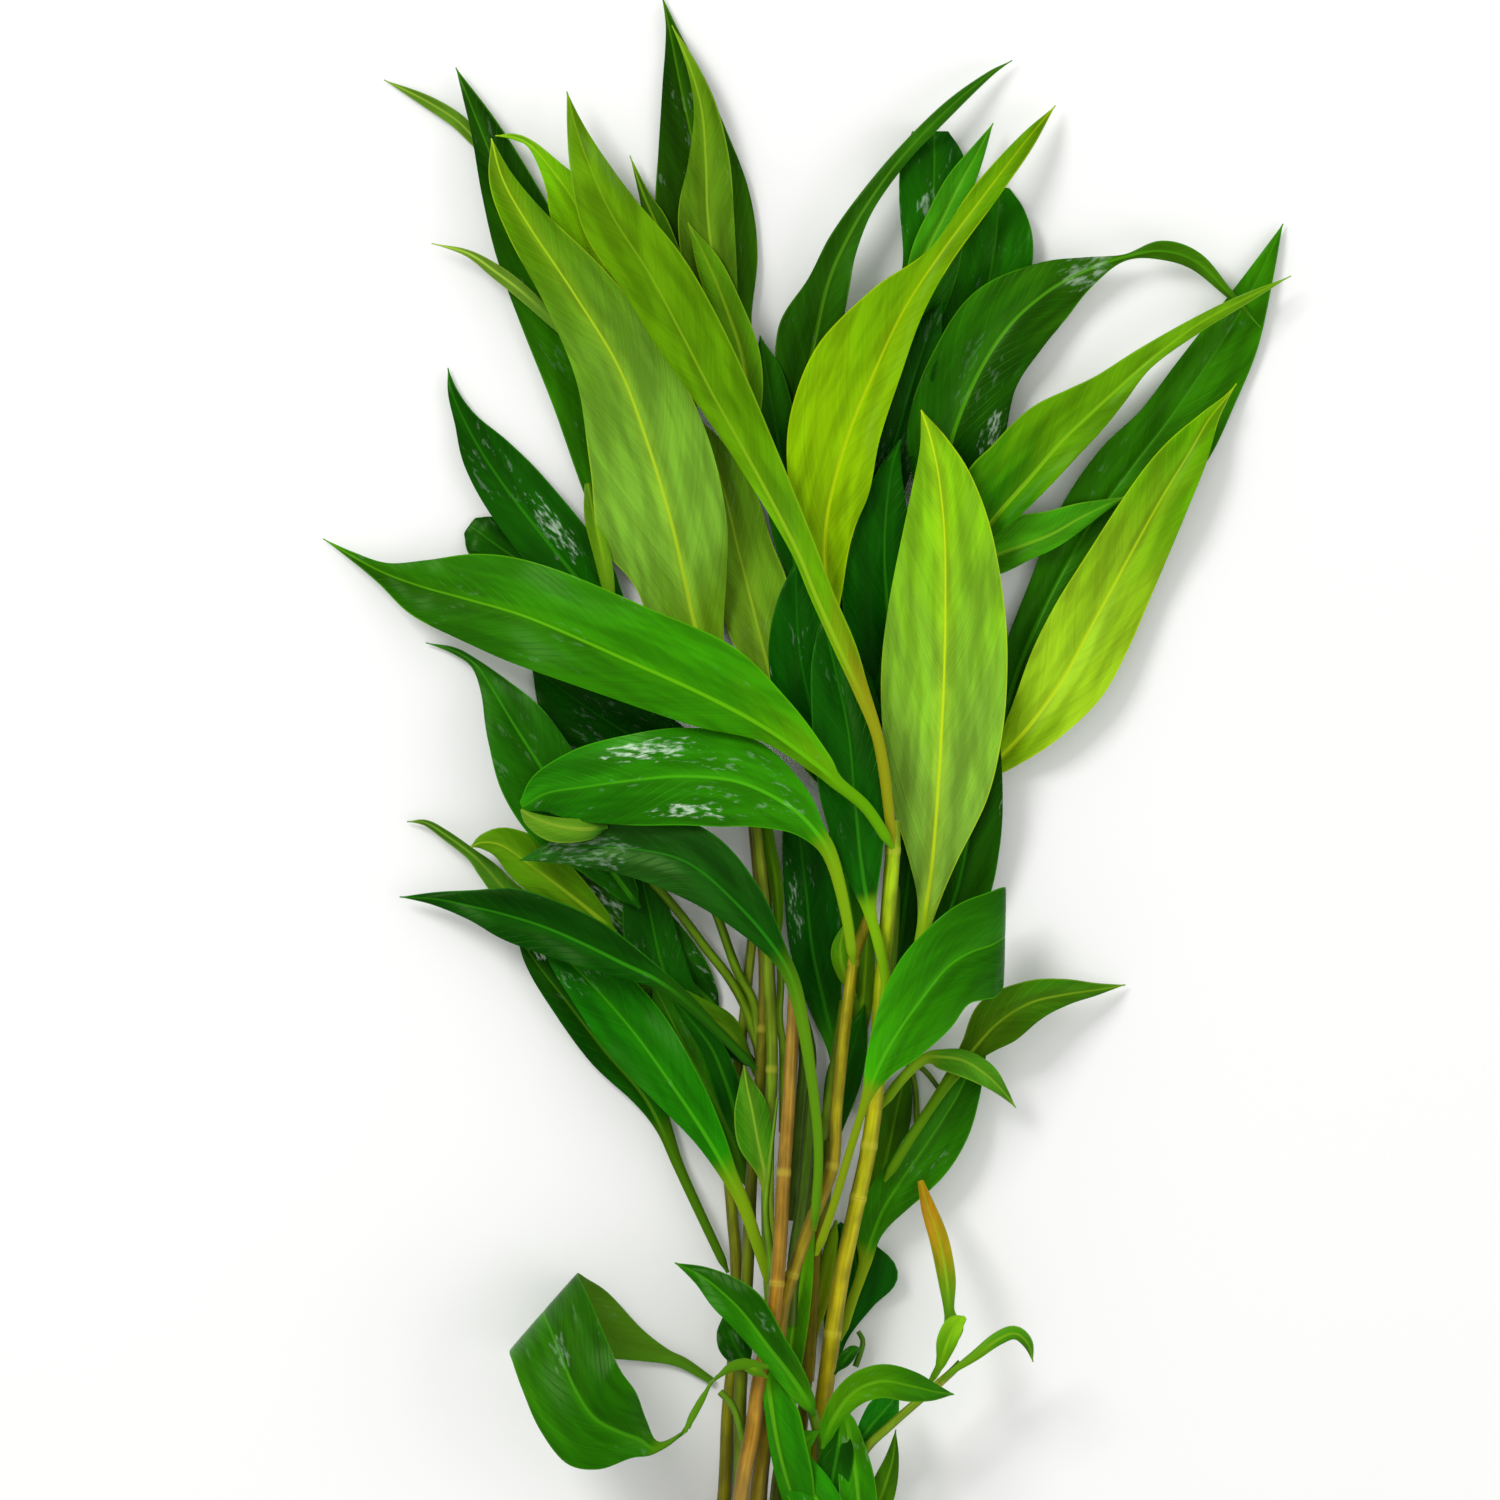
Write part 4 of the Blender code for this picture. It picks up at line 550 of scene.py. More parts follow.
     [(205.5, 14, 0, 1.1), (208, 21, 1, 2.8, 2.2), (213, 28, 4, 3.8, 3.6), (220, 31, 6, 4.2),
      (227.5, 29.7, 5, 3.7, 4), (233, 28.3, 3, 2, 2.5), (238.2, 27.4, 0, 0)], (0.2, 0.1)),
    ("leaf_looped", ("4c7c0c 1e6002 326804 3c860c", 0.32, 0.1),
     [(192, 33, 192, 36, 0), (184, 33.6, 184, 36.4, 1), (177, 29.5, 179, 32, 2),
      (172.8, 23.5, 176, 25.5, 2.5), (169.8, 17, 172.4, 20, 3), (163.5, 12.8, 165, 16, 4.5),
      (158, 12, 161.8, 21.5, 8), (150, 9.3, 159.3, 28.3, 11.5), (142, 10.8, 155.6, 33.6, 14),
      (135.4, 19, 153, 39, 15), (131.2, 28.3, 150.2, 45.5, 15), (128.7, 35, 147, 52.5, 14),
      (127.8, 38.2, 144.5, 57.2, 10), (131, 38.6, 147, 55.6, 5), (139, 36.5, 152.2, 51.8, 2.5),
      (149, 35.6, 160.3, 43, 1.5), (160, 34.8, 167, 37.8, 1), (169, 33.4, 171.8, 35.4, 0.5),
      (177.5, 29, 178.5, 30.6, 0)]),
]

# Leaves that turn their under side to the viewer.
UNDER_SHOWS = (
    "leaf_thin_pale_top_left",
    "leaf_lower_pale_left",
    "leaf_glossy_top_centre",
    "leaf_glossy_strip_centre",
    "leaf_large_pale_left",
    "leaf_olive_left",
    "leaf_pale_small_low",
    "leaf_large_central",
    "leaf_tip_turned_under",
    "sheath_low",
)
# Painted light and shade: how light the left and right halves of some leaves are drawn, seen from the stalk,
# as the halves tilt towards and away from the lamps.
HALF_SHADING = {
    "leaf_large_crossing": (0.7, 1.0),
    "leaf_speckled_crossing": (0.85, 1.1),
    "leaf_twisted_dark_right": (1.15, 0.75),
    "leaf_dark_pointed_low_left": (1.15, 0.8),
    "leaf_low_left_tip": (1.1, 0.6),
    "leaf_looped": (1.15, 0.8),
    "leaf_broad_dark_top_left": (0.9, 1.1),
    "leaf_dark_top_centre": (0.7, 1.1),
    "leaf_bright_curled_left": (1.1, 0.95),
    "leaf_dark_broad_right": (1.0, 0.8),
}
# Painted sheen, pale streaked patches drawn into the colour where the gloss shines: how far along the leaf,
# how far right of its rib in millimetres, how long, how wide and how strong each patch is.
PAINTED_SHEENS = {
    "leaf_speckled_crossing": [(0.7, 7, 0.17, 5, 0.85), (0.62, -8.5, 0.17, 3.6, 0.8)],
    "leaf_dark_left": [(0.42, 3.5, 0.2, 4.5, 0.6)],
    "leaf_hanging_glossy_centre": [(0.58, -3.2, 0.2, 3.2, 0.65)],
    "leaf_grey_sheen_left": [(0.88, -1, 0.15, 9, 0.22)],
    "leaf_twisted_dark_right": [(0.6, 0, 0.1, 7, 0.35), (0.2, 9, 0.1, 4, 0.5)],
    "leaf_back_low_left": [(0.93, 2, 0.06, 3.5, 0.9)],
    "leaf_looped": [(0.55, 0, 0.06, 5, 0.2)],
    "leaf_dark_inner_left": [(0.6, 0, 0.25, 8, 0.6)],
    "leaf_round_top_right": [(0.72, 0, 0.1, 6, 0.4)],
    "leaf_low_left_tip": [(0.5, 3, 0.1, 3, 0.2)],
}
# Pale colour of the painted sheen patches and painted glints.
PAINTED_SHEEN_COLOUR = "c4dcc0"
BACK_COLOURS = {"upper": "5c8c1c", "under": "1c5c08"}


def whole(piece):
    """A listed piece in full: its kind, name, look, route with both widths at each point, and form."""
    name, look, route, *form = piece
    # Only a stem's points have no rise, and only a ribbon has nothing after its route.
    if len(route[0]) == 2:
        return "stem", name, look, route, form
    if not form:
        return "ribbon", name, look, route, form
    route = [(*point, point[-1]) if len(point) == 4 else point for point in route]
    return "leaf", name, look, route, form


def blade_thickness(half):
    """Thickness of a leaf where it reaches this far from its midrib: thick stalk, thin blade."""
    reaches = (STALK_HALF_WIDTH, 3 * STALK_HALF_WIDTH)
    return np.interp(half, reaches, (STALK_THICKNESS, BLADE_THICKNESS))


def blade_share(width):
    """How far a leaf of this width has widened from a stalk, at nought, to a blade, at one."""
    return np.clip(width / (8 * STALK_HALF_WIDTH) - 0.25, 0, 1)


def ribbon_middles(edges):
    """Middle, rise and both margins at each point of a ribbon."""
    return [((a + c) / 2, (b + d) / 2, rise, a, b, c, d) for a, b, c, d, rise in edges]


def leaf_rows(spine, slopes, rows):
    """Points of a leaf's middle surface, in rows across it, with each row's place and thickness."""
    line, along = curve_points(spine, rows)
    left, right = np.maximum(line[:, 3], NARROWEST), np.maximum(line[:, 4], NARROWEST)
    heading = np.gradient(line[:, :2], axis=0)
    heading /= np.linalg.norm(heading, axis=1)[:, None]
    rightward = np.column_stack([heading[:, 1], -heading[:, 0]])
    reach = np.column_stack([-left, 0 * left, right])
    blade = blade_share(left + right)
    rise = np.column_stack([left * slopes[0] * blade, 0 * left, right * slopes[1] * blade])
    surface = np.dstack([
        line[:, 0:1] + rightward[:, 0:1] * reach,
        line[:, 1:2] + rightward[:, 1:2] * reach,
        line[:, 2:3] + rise,
    ])
    return surface, along, blade_thickness((left + right) / 2)


def ribbon_rows(edges, rows):
    """The same for a leaf that folds back over itself, from where its left and right margins run."""
    line, along = curve_points(ribbon_middles(edges), rows)
    left = np.column_stack([line[:, 3:5], line[:, 2]])
    right = np.column_stack([line[:, 5:7], line[:, 2]])
    surface = np.stack([left, line[:, :3], right], axis=1)
    return surface, along, blade_thickness(np.linalg.norm(right - left, axis=1) / 2)


def stem_rows(route, foot_radius, top_radius, rows):
    """Centre line of a stem and its radius at each place."""
    line, along = curve_points([(x, y, 0.0) for x, y in route], rows)
    return line, along, np.interp(along, (0, along[-1]), (foot_radius, top_radius))


def patch_samples(surface, along, half_thickness, step=SAMPLE_STEP):
    """Places spread over a surface of rows of points: position, place along it and half thickness."""
    found = []
    for row in range(len(surface) - 1):
        for column in range(surface.shape[1] - 1):
            a, b = surface[row, column], surface[row + 1, column]
            c, d = surface[row, column + 1], surface[row + 1, column + 1]
            n = int(max(np.linalg.norm(b - a), np.linalg.norm(d - c)) / step) + 2
            m = int(max(np.linalg.norm(c - a), np.linalg.norm(d - b)) / step) + 2
            u, v = np.meshgrid(np.linspace(0, 1, n), np.linspace(0, 1, m), indexing="ij")
            u, v = u.reshape(-1, 1), v.reshape(-1, 1)
            near, far = a * (1 - v) + c * v, b * (1 - v) + d * v
            where = along[row] * (1 - u) + along[row + 1] * u
            thick = half_thickness[row] * (1 - u) + half_thickness[row + 1] * u
            found.append(np.hstack([near * (1 - u) + far * u, where, thick]))
    return np.vstack(found)


def tube_samples(line, along, radius):
    """The same for a round stem, whose half thickness falls to nothing at its sides."""
    across = np.linspace(-1, 1, STEM_SAMPLES)
    heading = np.gradient(line, axis=0)
    side = np.column_stack([heading[:, 1], -heading[:, 0], 0 * heading[:, 0]])
    side /= np.linalg.norm(side, axis=1)[:, None]
    fine = np.arange(0, along[-1], SAMPLE_STEP)
    centre = np.column_stack([np.interp(fine, along, line[:, k]) for k in range(3)])
    sides = np.column_stack([np.interp(fine, along, side[:, k]) for k in range(3)])
    reach = np.interp(fine, along, radius)
    found = []
    for share in across:
        place = centre + sides * (reach * share)[:, None]
        found.append(np.column_stack([place, fine, reach * math.sqrt(1.0001 - share * share)]))
    return np.vstack(found)


class Pile:
    """Heights of what lies on the surface so far, on a grid of cells."""

    def __init__(self):
        across = int((SHEET_X[1] - SHEET_X[0]) / CELL)
        upward = int((SHEET_Y[1] - SHEET_Y[0]) / CELL)
        self.top = np.full((across, upward), -CLEARANCE)

    def cells(self, samples):
        column = ((samples[:, 0] - SHEET_X[0]) / CELL).astype(int)
        row = ((samples[:, 1] - SHEET_Y[0]) / CELL).astype(int)
        return np.clip(column, 1, self.top.shape[0] - 2), np.clip(row, 1, self.top.shape[1] - 2)

    def lay(self, samples, along, bend):
        """Height to add at each place along a piece, so that it clears the pile and stays smooth."""
        column, row = self.cells(samples)
        need = self.top[column, row] + CLEARANCE - (samples[:, 2] - samples[:, 4])
        fine = np.arange(0, along[-1] + 1.0, 1.0)
        slot = np.clip(samples[:, 3].round().astype(int), 0, len(fine) - 1)
        most = np.full(len(fine), -1e3)
        np.maximum.at(most, slot, need)
        apart = np.maximum(np.abs(fine[:, None] - fine[None, :]) - 1.0, 0)
        hard = (most[None, :] - bend * apart**2).max(axis=1)
        reach = int(3 * EASE)
        weight = np.exp(-0.5 * (np.arange(-reach, reach + 1) / EASE) ** 2)
        padded = np.pad(hard, reach, mode="edge")
        eased = np.convolve(padded, weight / weight.sum(), mode="valid")
        eased += max(0.0, (hard - eased).max())
        lift = np.interp(samples[:, 3], fine, eased)
        high = samples[:, 2] + samples[:, 4] + lift
        for right in (-1, 0, 1):
            for up in (-1, 0, 1):
                np.maximum.at(self.top, (column + right, row + up), high)
        return np.interp(along, fine, eased)


def coarse_piece(kind, route, form):
    """A piece as the solids have it: its points, places along it, thickness and samples."""
    rows = len(route) + EXTRA_ROWS
    if kind == "stem":
        line, along, radius = stem_rows(route, *form, rows)
        return line, along, tube_samples(line, along, radius), STEM_BEND
    if kind == "leaf":
        surface, along, thickness = leaf_rows(route, *form, rows)
    else:
        surface, along, thickness = ribbon_rows(route, rows)
    return surface, along, patch_samples(surface, along, thickness / 2), LEAF_BEND


def laid_heights():
    """Height of each piece along its route, as the solids lie, and the middle of them all."""
    pile = Pile()
    heights = {}
    corners = []
    for piece in PIECES:
        kind, name, _, route, form = whole(piece)
        for extra in BEHIND.get(name, ()):
            extra_kind, extra_name, _, extra_route, extra_form = whole(extra)
            kept = pile.top.copy()
            _, along, samples, bend = coarse_piece(extra_kind, extra_route, extra_form)
            heights[extra_name] = (along / along[-1], pile.lay(samples, along, bend))
            pile.top = kept
        shape, along, samples, bend = coarse_piece(kind, route, form)
        heights[name] = (along / along[-1], pile.lay(samples, along, bend))
        corners.append(shape.reshape(-1, 3)[:, :2])
    corners = np.vstack(corners)
    return heights, (corners.min(axis=0) + corners.max(axis=0)) / 2


def smooth_lift(heights, share):
    """The height at each share of a piece's length, rounded off between the solids' rows."""
    at, lift = heights
    spots = np.linspace(0, 1, LIFT_SPOTS)
    width = LIFT_SPOTS // (2 * len(at))
    padded = np.pad(np.interp(spots, at, lift), width, mode="edge")
    bell = np.exp(-0.5 * np.linspace(-2, 2, 2 * width + 1) ** 2)
    return np.interp(share, spots, np.convolve(padded, bell / bell.sum(), mode="valid"))


def unit(vectors):
    """The same directions with a length of one."""
    return vectors / np.maximum(np.linalg.norm(vectors, axis=-1, keepdims=True), 1e-9)


def ease(value, low, high):
    """Nought at low and one at high, with a smooth way between."""
    share = np.clip((value - low) / (high - low), 0, 1)
    return share * share * (3 - 2 * share)


def leaf_sheet(kind, name, route, form, heights):
    """The middle surface of a fine leaf, with its reach, place along and half width."""
    length = np.linalg.norm(np.diff(np.array(route)[:, :2], axis=0), axis=1).sum()
    rows = int(np.clip(length / ROW_STEP, FEWEST_ROWS, MOST_ROWS))
    across = np.linspace(-1, 1, COLUMNS)
    across = np.sign(across) * np.abs(across) ** CROWDING
    if kind == "leaf":
        line, along = curve_points(route, rows)
        sides = np.maximum(line[:, 3:5], TIP_HALF_WIDTH)
        heading = unit(np.gradient(line[:, :2], axis=0))
        rightward = np.column_stack([heading[:, 1], -heading[:, 0]])
        slopes = form[0]
    else:
        line, along = curve_points(ribbon_middles(route), rows)
        width = line[:, 5:7] - line[:, 3:5]
        sides = np.repeat(np.linalg.norm(width, axis=1)[:, None] / 2, 2, axis=1)
        rightward = unit(width)
        slopes = (0.0, 0.0)
    share = along / along[-1]
    foot = ease(along, 0, FOOT_TAPER)
    sides = sides * (FOOT_SHARE + (1 - FOOT_SHARE) * foot)[:, None]
    half = sides.mean(axis=1)
    reach = np.where(across[None, :] < 0, sides[:, :1], sides[:, 1:]) * across[None, :]
    plane = line[:, None, :2] + rightward[:, None, :] * reach[:, :, None]
    blade = blade_share(2 * half)[:, None]
    climb = np.where(across < 0, slopes[0], slopes[1])[None, :] * np.abs(reach) * blade
    arch = ARCH * half[:, None] * blade * np.sin(np.pi * np.abs(across))[None, :]
    # The letters of its name make each leaf's waves start at another place.
    turn = (sum(ord(letter) for letter in name) % 63) / 10
    shift = np.where(across < 0, LEFT_WAVE_SHIFT, 0)[None, :]
    beat = 2 * np.pi * along[:, None] / WAVE_LENGTH + turn + shift
    wave = WAVE * blade * np.sin(beat) * (across**2)[None, :]
    lift = line[:, 2] + smooth_lift(heights, share) - FOOT_SINK * (1 - foot)
    height = lift[:, None] + climb + arch + wave
    return np.dstack([plane, height]), reach, along, share, half


def leaf_piece(kind, name, route, form, heights, middle, face):
    """A fine leaf: two skins over its middle surface, a round stalk, a groove and a raised rib."""
    sheet, reach, along, share, half = leaf_sheet(kind, name, route, form, heights)
    rows, columns = reach.shape
    normal = unit(np.cross(np.gradient(sheet, axis=1), np.gradient(sheet, axis=0)))
    edge = np.abs(reach) / np.maximum(np.abs(reach).max(axis=1), 0.1)[:, None]
    blade = ease(half, *BLADE_HALF_WIDTHS)[:, None]
    round_off = np.sqrt(np.clip(1 - edge**2, 0, 1))
    stalk = np.minimum(half, STALK_HALF_WIDTH)[:, None] * STALK_FLATNESS * round_off
    skin = BLADE_SKIN * (THIN_SHARE + (1 - THIN_SHARE) * round_off)
    groove = GROOVE * (1 - 0.6 * share)[:, None] * np.exp(-((reach / GROOVE_REACH) ** 2))
    ridge = RIDGE * (1 - 0.8 * share)[:, None] * np.exp(-((reach / RIDGE_REACH) ** 2))
    upper = (1 - blade) * stalk + blade * (skin - groove)
    lower = (1 - blade) * stalk + blade * (skin + ridge)
    top, bottom = (upper, lower) if face == "upper" else (lower, upper)
    skins = np.stack([sheet + normal * top[:, :, None], sheet - normal * bottom[:, :, None]])
    skins[:, :, :, :2] -= middle
    index = np.arange(2 * rows * columns).reshape(2, rows, columns)

    def quads(grid):
        corners = [grid[:-1, :-1], grid[:-1, 1:], grid[1:, 1:], grid[1:, :-1]]
        return np.stack([corner.reshape(-1) for corner in corners], axis=1)

    faces = [
        quads(index[0]),
        quads(index[1])[:, ::-1],
        quads(index[:, :, 0].T)[:, ::-1],
        quads(index[:, :, -1].T),
        quads(index[:, 0, :]),
        quads(index[:, -1, :])[:, ::-1],
    ]
    made = mesh_object(name + "_fine", skins.reshape(-1, 3), np.vstack(faces))
    add_vectors(made, "place", [(reach, along[:, None], share[:, None])] * 2)
    add_vectors(made, "form", [(edge, seen, half[:, None]) for seen in (1.0, 0.0)])
    return made


def stem_piece(name, route, form, heights, middle, rings):
    """A fine stem: a round tube with swollen rings where leaves stood, and cut ends."""
    rows = int(sum(math.dist(a, b) for a, b in zip(route, route[1:])) / STEM_STEP)
    line, along, radius = stem_rows(route, *form, rows)
    share = along / along[-1]
    line[:, 2] += smooth_lift(heights, share)
    ring = np.zeros(rows)
    for height in rings:
        ring = np.maximum(ring, np.exp(-(((line[:, 1] - height) / RING_LENGTH) ** 2)))
    radius = radius * (1 + RING_SWELL * ring)
    heading = unit(np.gradient(line, axis=0))
    side = unit(np.cross(heading, (0, 0, 1)))
    up = np.cross(side, heading)
    turn = np.linspace(0, 2 * np.pi, STEM_SIDES, endpoint=False)
    out = side[:, None] * np.cos(turn)[None, :, None] + up[:, None] * np.sin(turn)[None, :, None]
    points = line[:, None] + out * radius[:, None, None]
    points[:, :, :2] -= middle
    index = np.arange(rows * STEM_SIDES).reshape(rows, STEM_SIDES)
    following = np.roll(index, -1, axis=1)
    walls = np.stack([index[:-1], following[:-1], following[1:], index[1:]], axis=-1).reshape(-1, 4)
    caps = [tuple(index[0]), tuple(index[-1][::-1])]
    made = mesh_object(name + "_fine", points.reshape(-1, 3), [*map(tuple, walls[:, ::-1]), *caps])
    add_vectors(made, "place", [(np.cos(turn), along[:, None], share[:, None])])
    add_vectors(made, "form", [(ring[:, None], np.sin(turn), radius[:, None])])
    return made


def mesh_object(name, points, faces):
    """A smooth mesh of these points, in millimetres, with sharp edges only where it folds."""
    mesh = bpy.data.meshes.new(name)
    mesh.from_pydata((points * MM).tolist(), [], [tuple(int(v) for v in face) for face in faces])
    mesh.validate()
    mesh.update()
    mesh.shade_smooth()
    mesh.set_sharp_from_angle(angle=math.radians(SHARP_ANGLE))
    made = bpy.data.objects.new(name, mesh)
    bpy.context.scene.collection.objects.link(made)
    return made


def add_vectors(piece, name, grids):
    """Three numbers at each point of a piece, from grids of rows and columns, one for each skin."""
    values = np.stack([np.dstack(np.broadcast_arrays(*grid)) for grid in grids])
    attribute = piece.data.attributes.new(name, "FLOAT_VECTOR", "POINT")
    attribute.data.foreach_set("vector", values.astype(np.float32).reshape(-1))


def linear(code):
    """A colour written as six hexadecimal digits, as Blender's linear numbers."""
    shares = [int(code[start:start + 2], 16) / 255 for start in (0, 2, 4)]
    return [s / 12.92 if s <= 0.04045 else ((s + 0.055) / 1.055) ** 2.4 for s in shares] + [1.0]


class Nodes:
    """Short ways to add and link shader nodes."""

    def __init__(self, material):
        self.tree = material.node_tree
        self.tree.nodes.clear()

    def add(self, kind, settings=None, **inputs):
        """A new node with its inputs set by name, or by number as i0, i1 and so on."""
        node = self.tree.nodes.new(kind)
        for key, value in (settings or {}).items():
            setattr(node, key, value)
        for key, value in inputs.items():
            by_number = key[0] == "i" and key[1:].isdigit()
            self.put(node.inputs[int(key[1:]) if by_number else key.replace("_", " ")], value)
        return node

    def put(self, socket, value):
        """Link an output to a socket, or set a plain value on it."""
        if isinstance(value, bpy.types.NodeSocket):
            self.tree.links.new(value, socket)
        else:
            socket.default_value = value

    def math(self, operation, first, second=0.0, third=0.0):
        return self.add("ShaderNodeMath", {"operation": operation}, i0=first, i1=second, i2=third).outputs[0]

    def ramp(self, value, low, high, bottom=0.0, top=1.0):
        """The value eased from bottom at low to top at high."""
        node = self.add("ShaderNodeMapRange", {"interpolation_type": "SMOOTHSTEP"},
                        Value=value, From_Min=low, From_Max=high, To_Min=bottom, To_Max=top)
        return node.outputs["Result"]

    def mix(self, share, first, second, blend="MIX"):
        node = self.add("ShaderNodeMix", {"data_type": "RGBA", "blend_type": blend})
        self.put(node.inputs[0], share)
        self.put(node.inputs[6], first)
        self.put(node.inputs[7], second)
        return node.outputs[2]

    def along_colours(self, place, foot, middle, tip, reached):
        """Three colours one after another along a piece, the middle one from the share reached."""
        node = self.add("ShaderNodeValToRGB", None, Fac=place)
        stops = node.color_ramp
        stops.interpolation = "EASE"
        stops.elements[0].position, stops.elements[0].color = 0.08, linear(foot)
        stops.elements[1].position, stops.elements[1].color = 0.95, linear(tip)
        stops.elements.new(reached).color = linear(middle)
        return node.outputs["Color"]

    def attribute(self, name):
        vector = self.add("ShaderNodeAttribute", {"attribute_name": name}).outputs["Vector"]
        return self.add("ShaderNodeSeparateXYZ", None, i0=vector).outputs

    def noise(self, vector, scale, detail=2.0, rough=0.5):
        node = self.add("ShaderNodeTexNoise", None,
                        Vector=vector, Scale=scale, Detail=detail, Roughness=rough)
        return node.outputs["Fac"]

    def vector(self, x, y, z=0.0):
        return self.add("ShaderNodeCombineXYZ", None, X=x, Y=y, Z=z).outputs[0]

    def surface(self, colour, rough, bump, level, tint, coat, coat_rough):
        """A surface of this colour and roughness, with its bump, gloss and thin coat."""
        shader = self.add("ShaderNodeBsdfPrincipled", None, Base_Color=colour, Roughness=rough)
        self.put(shader.inputs["Normal"], bump.outputs[0])
        shader.inputs["Specular IOR Level"].default_value = level
        shader.inputs["Specular Tint"].default_value = tint
        shader.inputs["Coat Weight"].default_value = coat
        shader.inputs["Coat Roughness"].default_value = coat_rough
        self.add("ShaderNodeOutputMaterial", None, Surface=shader.outputs[0])


def new_material(name):
    """A material with no nodes yet, and a way to add them."""
    material = bpy.data.materials.new(name)
    material.use_nodes = True
    return material, Nodes(material)


def leaf_material(name, seed, face, colours, gloss, glint_speckle):
    """A living leaf: colours along it, arched side veins, a pale rib and edge, painted light and shade on the
    halves of some leaves, and painted sheen streaks and glints.
    """
    foot, middle, tip, rib = colours.split()
    material, n = new_material(name)
    reach, along, share = n.attribute("place")
    edge, seen, half = n.attribute("form")
    side = n.math("ABSOLUTE", reach)
    arch = n.math("MULTIPLY", n.math("POWER", side, 2.0), VEIN_ARCH)
    phase = n.math("SUBTRACT", along, n.math("MULTIPLY_ADD", side, VEIN_LEAN, arch))
    wobble = n.math("MULTIPLY", n.noise(n.vector(phase, side, seed), 0.12), 4.0)
    grain = n.vector(n.math("MULTIPLY_ADD", phase, 0.9, wobble), n.math("MULTIPLY", side, 0.05), seed)
    streaks = n.noise(grain, 1.0, 2.0, 0.5)
    blotch = n.noise(n.vector(n.math("MULTIPLY", phase, 0.6), reach, seed + 7.0), 0.11, 2.0)
    beside = n.math("PINGPONG", n.math("MULTIPLY_ADD", wobble, 0.35, phase), VEIN_SPACING / 2)
    vein = n.math("MULTIPLY", n.ramp(beside, 0.0, 0.5, 1.0, 0.0), n.ramp(side, 0.6, 2.0))
    stalk = n.math("MULTIPLY", n.ramp(half, 1.5, 3.0, 1.0, 0.0), n.ramp(share, 0.35, 0.6, 1.0, 0.0))

    drift = n.math("MULTIPLY_ADD", blotch, 0.4, n.math("SUBTRACT", share, 0.2))
    colour = n.along_colours(drift, foot, middle, tip, 0.34)
    shade = n.ramp(streaks, 0.3, 0.7, 1 - STREAK_DEPTH, 1 + STREAK_DEPTH)
    patches = n.vector(n.math("MULTIPLY", along, 0.05), n.math("MULTIPLY", reach, 0.3), seed)
    mottle = n.noise(patches, 1.0, 2.0)
    shade = n.math("MULTIPLY", shade, n.ramp(mottle, 0.35, 0.65, MOTTLE_DARK, MOTTLE_LIGHT))
    shade = n.math("MULTIPLY", shade, n.ramp(blotch, 0.3, 0.7, 0.82, 1.12))
    # Painted light and shade: one half of some leaves drawn lighter and the other darker, as the halves tilt
    # towards and away from the lamps.
    left_shading, right_shading = HALF_SHADING.get(name, (1.0, 1.0))
    shade = n.math("MULTIPLY", shade, n.ramp(reach, -0.7, 0.7, left_shading, right_shading))
    rib_colour = linear(rib)
    strong = 1.0 if face == "under" else 0.5
    colour = n.mix(n.math("MULTIPLY", vein, 0.16 * strong), colour, rib_colour)
    colour = n.mix(n.math("MULTIPLY", n.ramp(side, 0.4, 3.5, 1.0, 0.0), 0.16 * strong), colour, rib_colour)
    colour = n.mix(1.0, colour, n.vector(shade, shade, shade), "MULTIPLY")
    rib_half = n.math("MULTIPLY_ADD", share, -RIB_HALF_WIDTH * 0.8, RIB_HALF_WIDTH)
    rib_mask = n.ramp(n.math("SUBTRACT", side, rib_half), -0.15, 0.25, 1.0, 0.0)
    rib_mask = n.math("MULTIPLY", rib_mask, n.ramp(share, 0.3, 1.0, 0.9, 0.9 if face == "under" else 0.45))
    colour = n.mix(rib_mask, colour, rib_colour)
    rim = n.math("SUBTRACT", half, n.math("MULTIPLY", edge, half))
    colour = n.mix(n.math("MULTIPLY", n.ramp(rim, 0.1, 0.45, 1.0, 0.0), 0.45), colour, rib_colour)
    colour = n.mix(n.math("MULTIPLY", stalk, 0.85), colour, linear(foot))
    colour = n.mix(seen, n.mix(0.6, colour, linear(BACK_COLOURS[face])), colour)

    rough = n.ramp(streaks, 0.25, 0.75, gloss - 0.1, gloss + 0.04)
    strokes = n.vector(n.math("MULTIPLY", along, 0.3), n.math("MULTIPLY", reach, 1.0), seed + 11.0)
    strokes = n.noise(strokes, 1.0, 3.0, 0.55)
    # Painted glints: pale flecks drawn into the colour where the gloss would catch the lamps.
    if glint_speckle:
        field = n.noise(n.vector(n.math("MULTIPLY", phase, 0.5), side, seed + 3.0), 0.16, 2.0)
        painted_gleam = n.math("MULTIPLY", n.ramp(field, 0.58, 0.66), n.ramp(strokes, 0.55, 0.64))
        painted_gleam = n.math("MULTIPLY", painted_gleam, n.math("SUBTRACT", 0.6 * glint_speckle, stalk))
        colour = n.mix(painted_gleam, colour, linear(PAINTED_SHEEN_COLOUR))
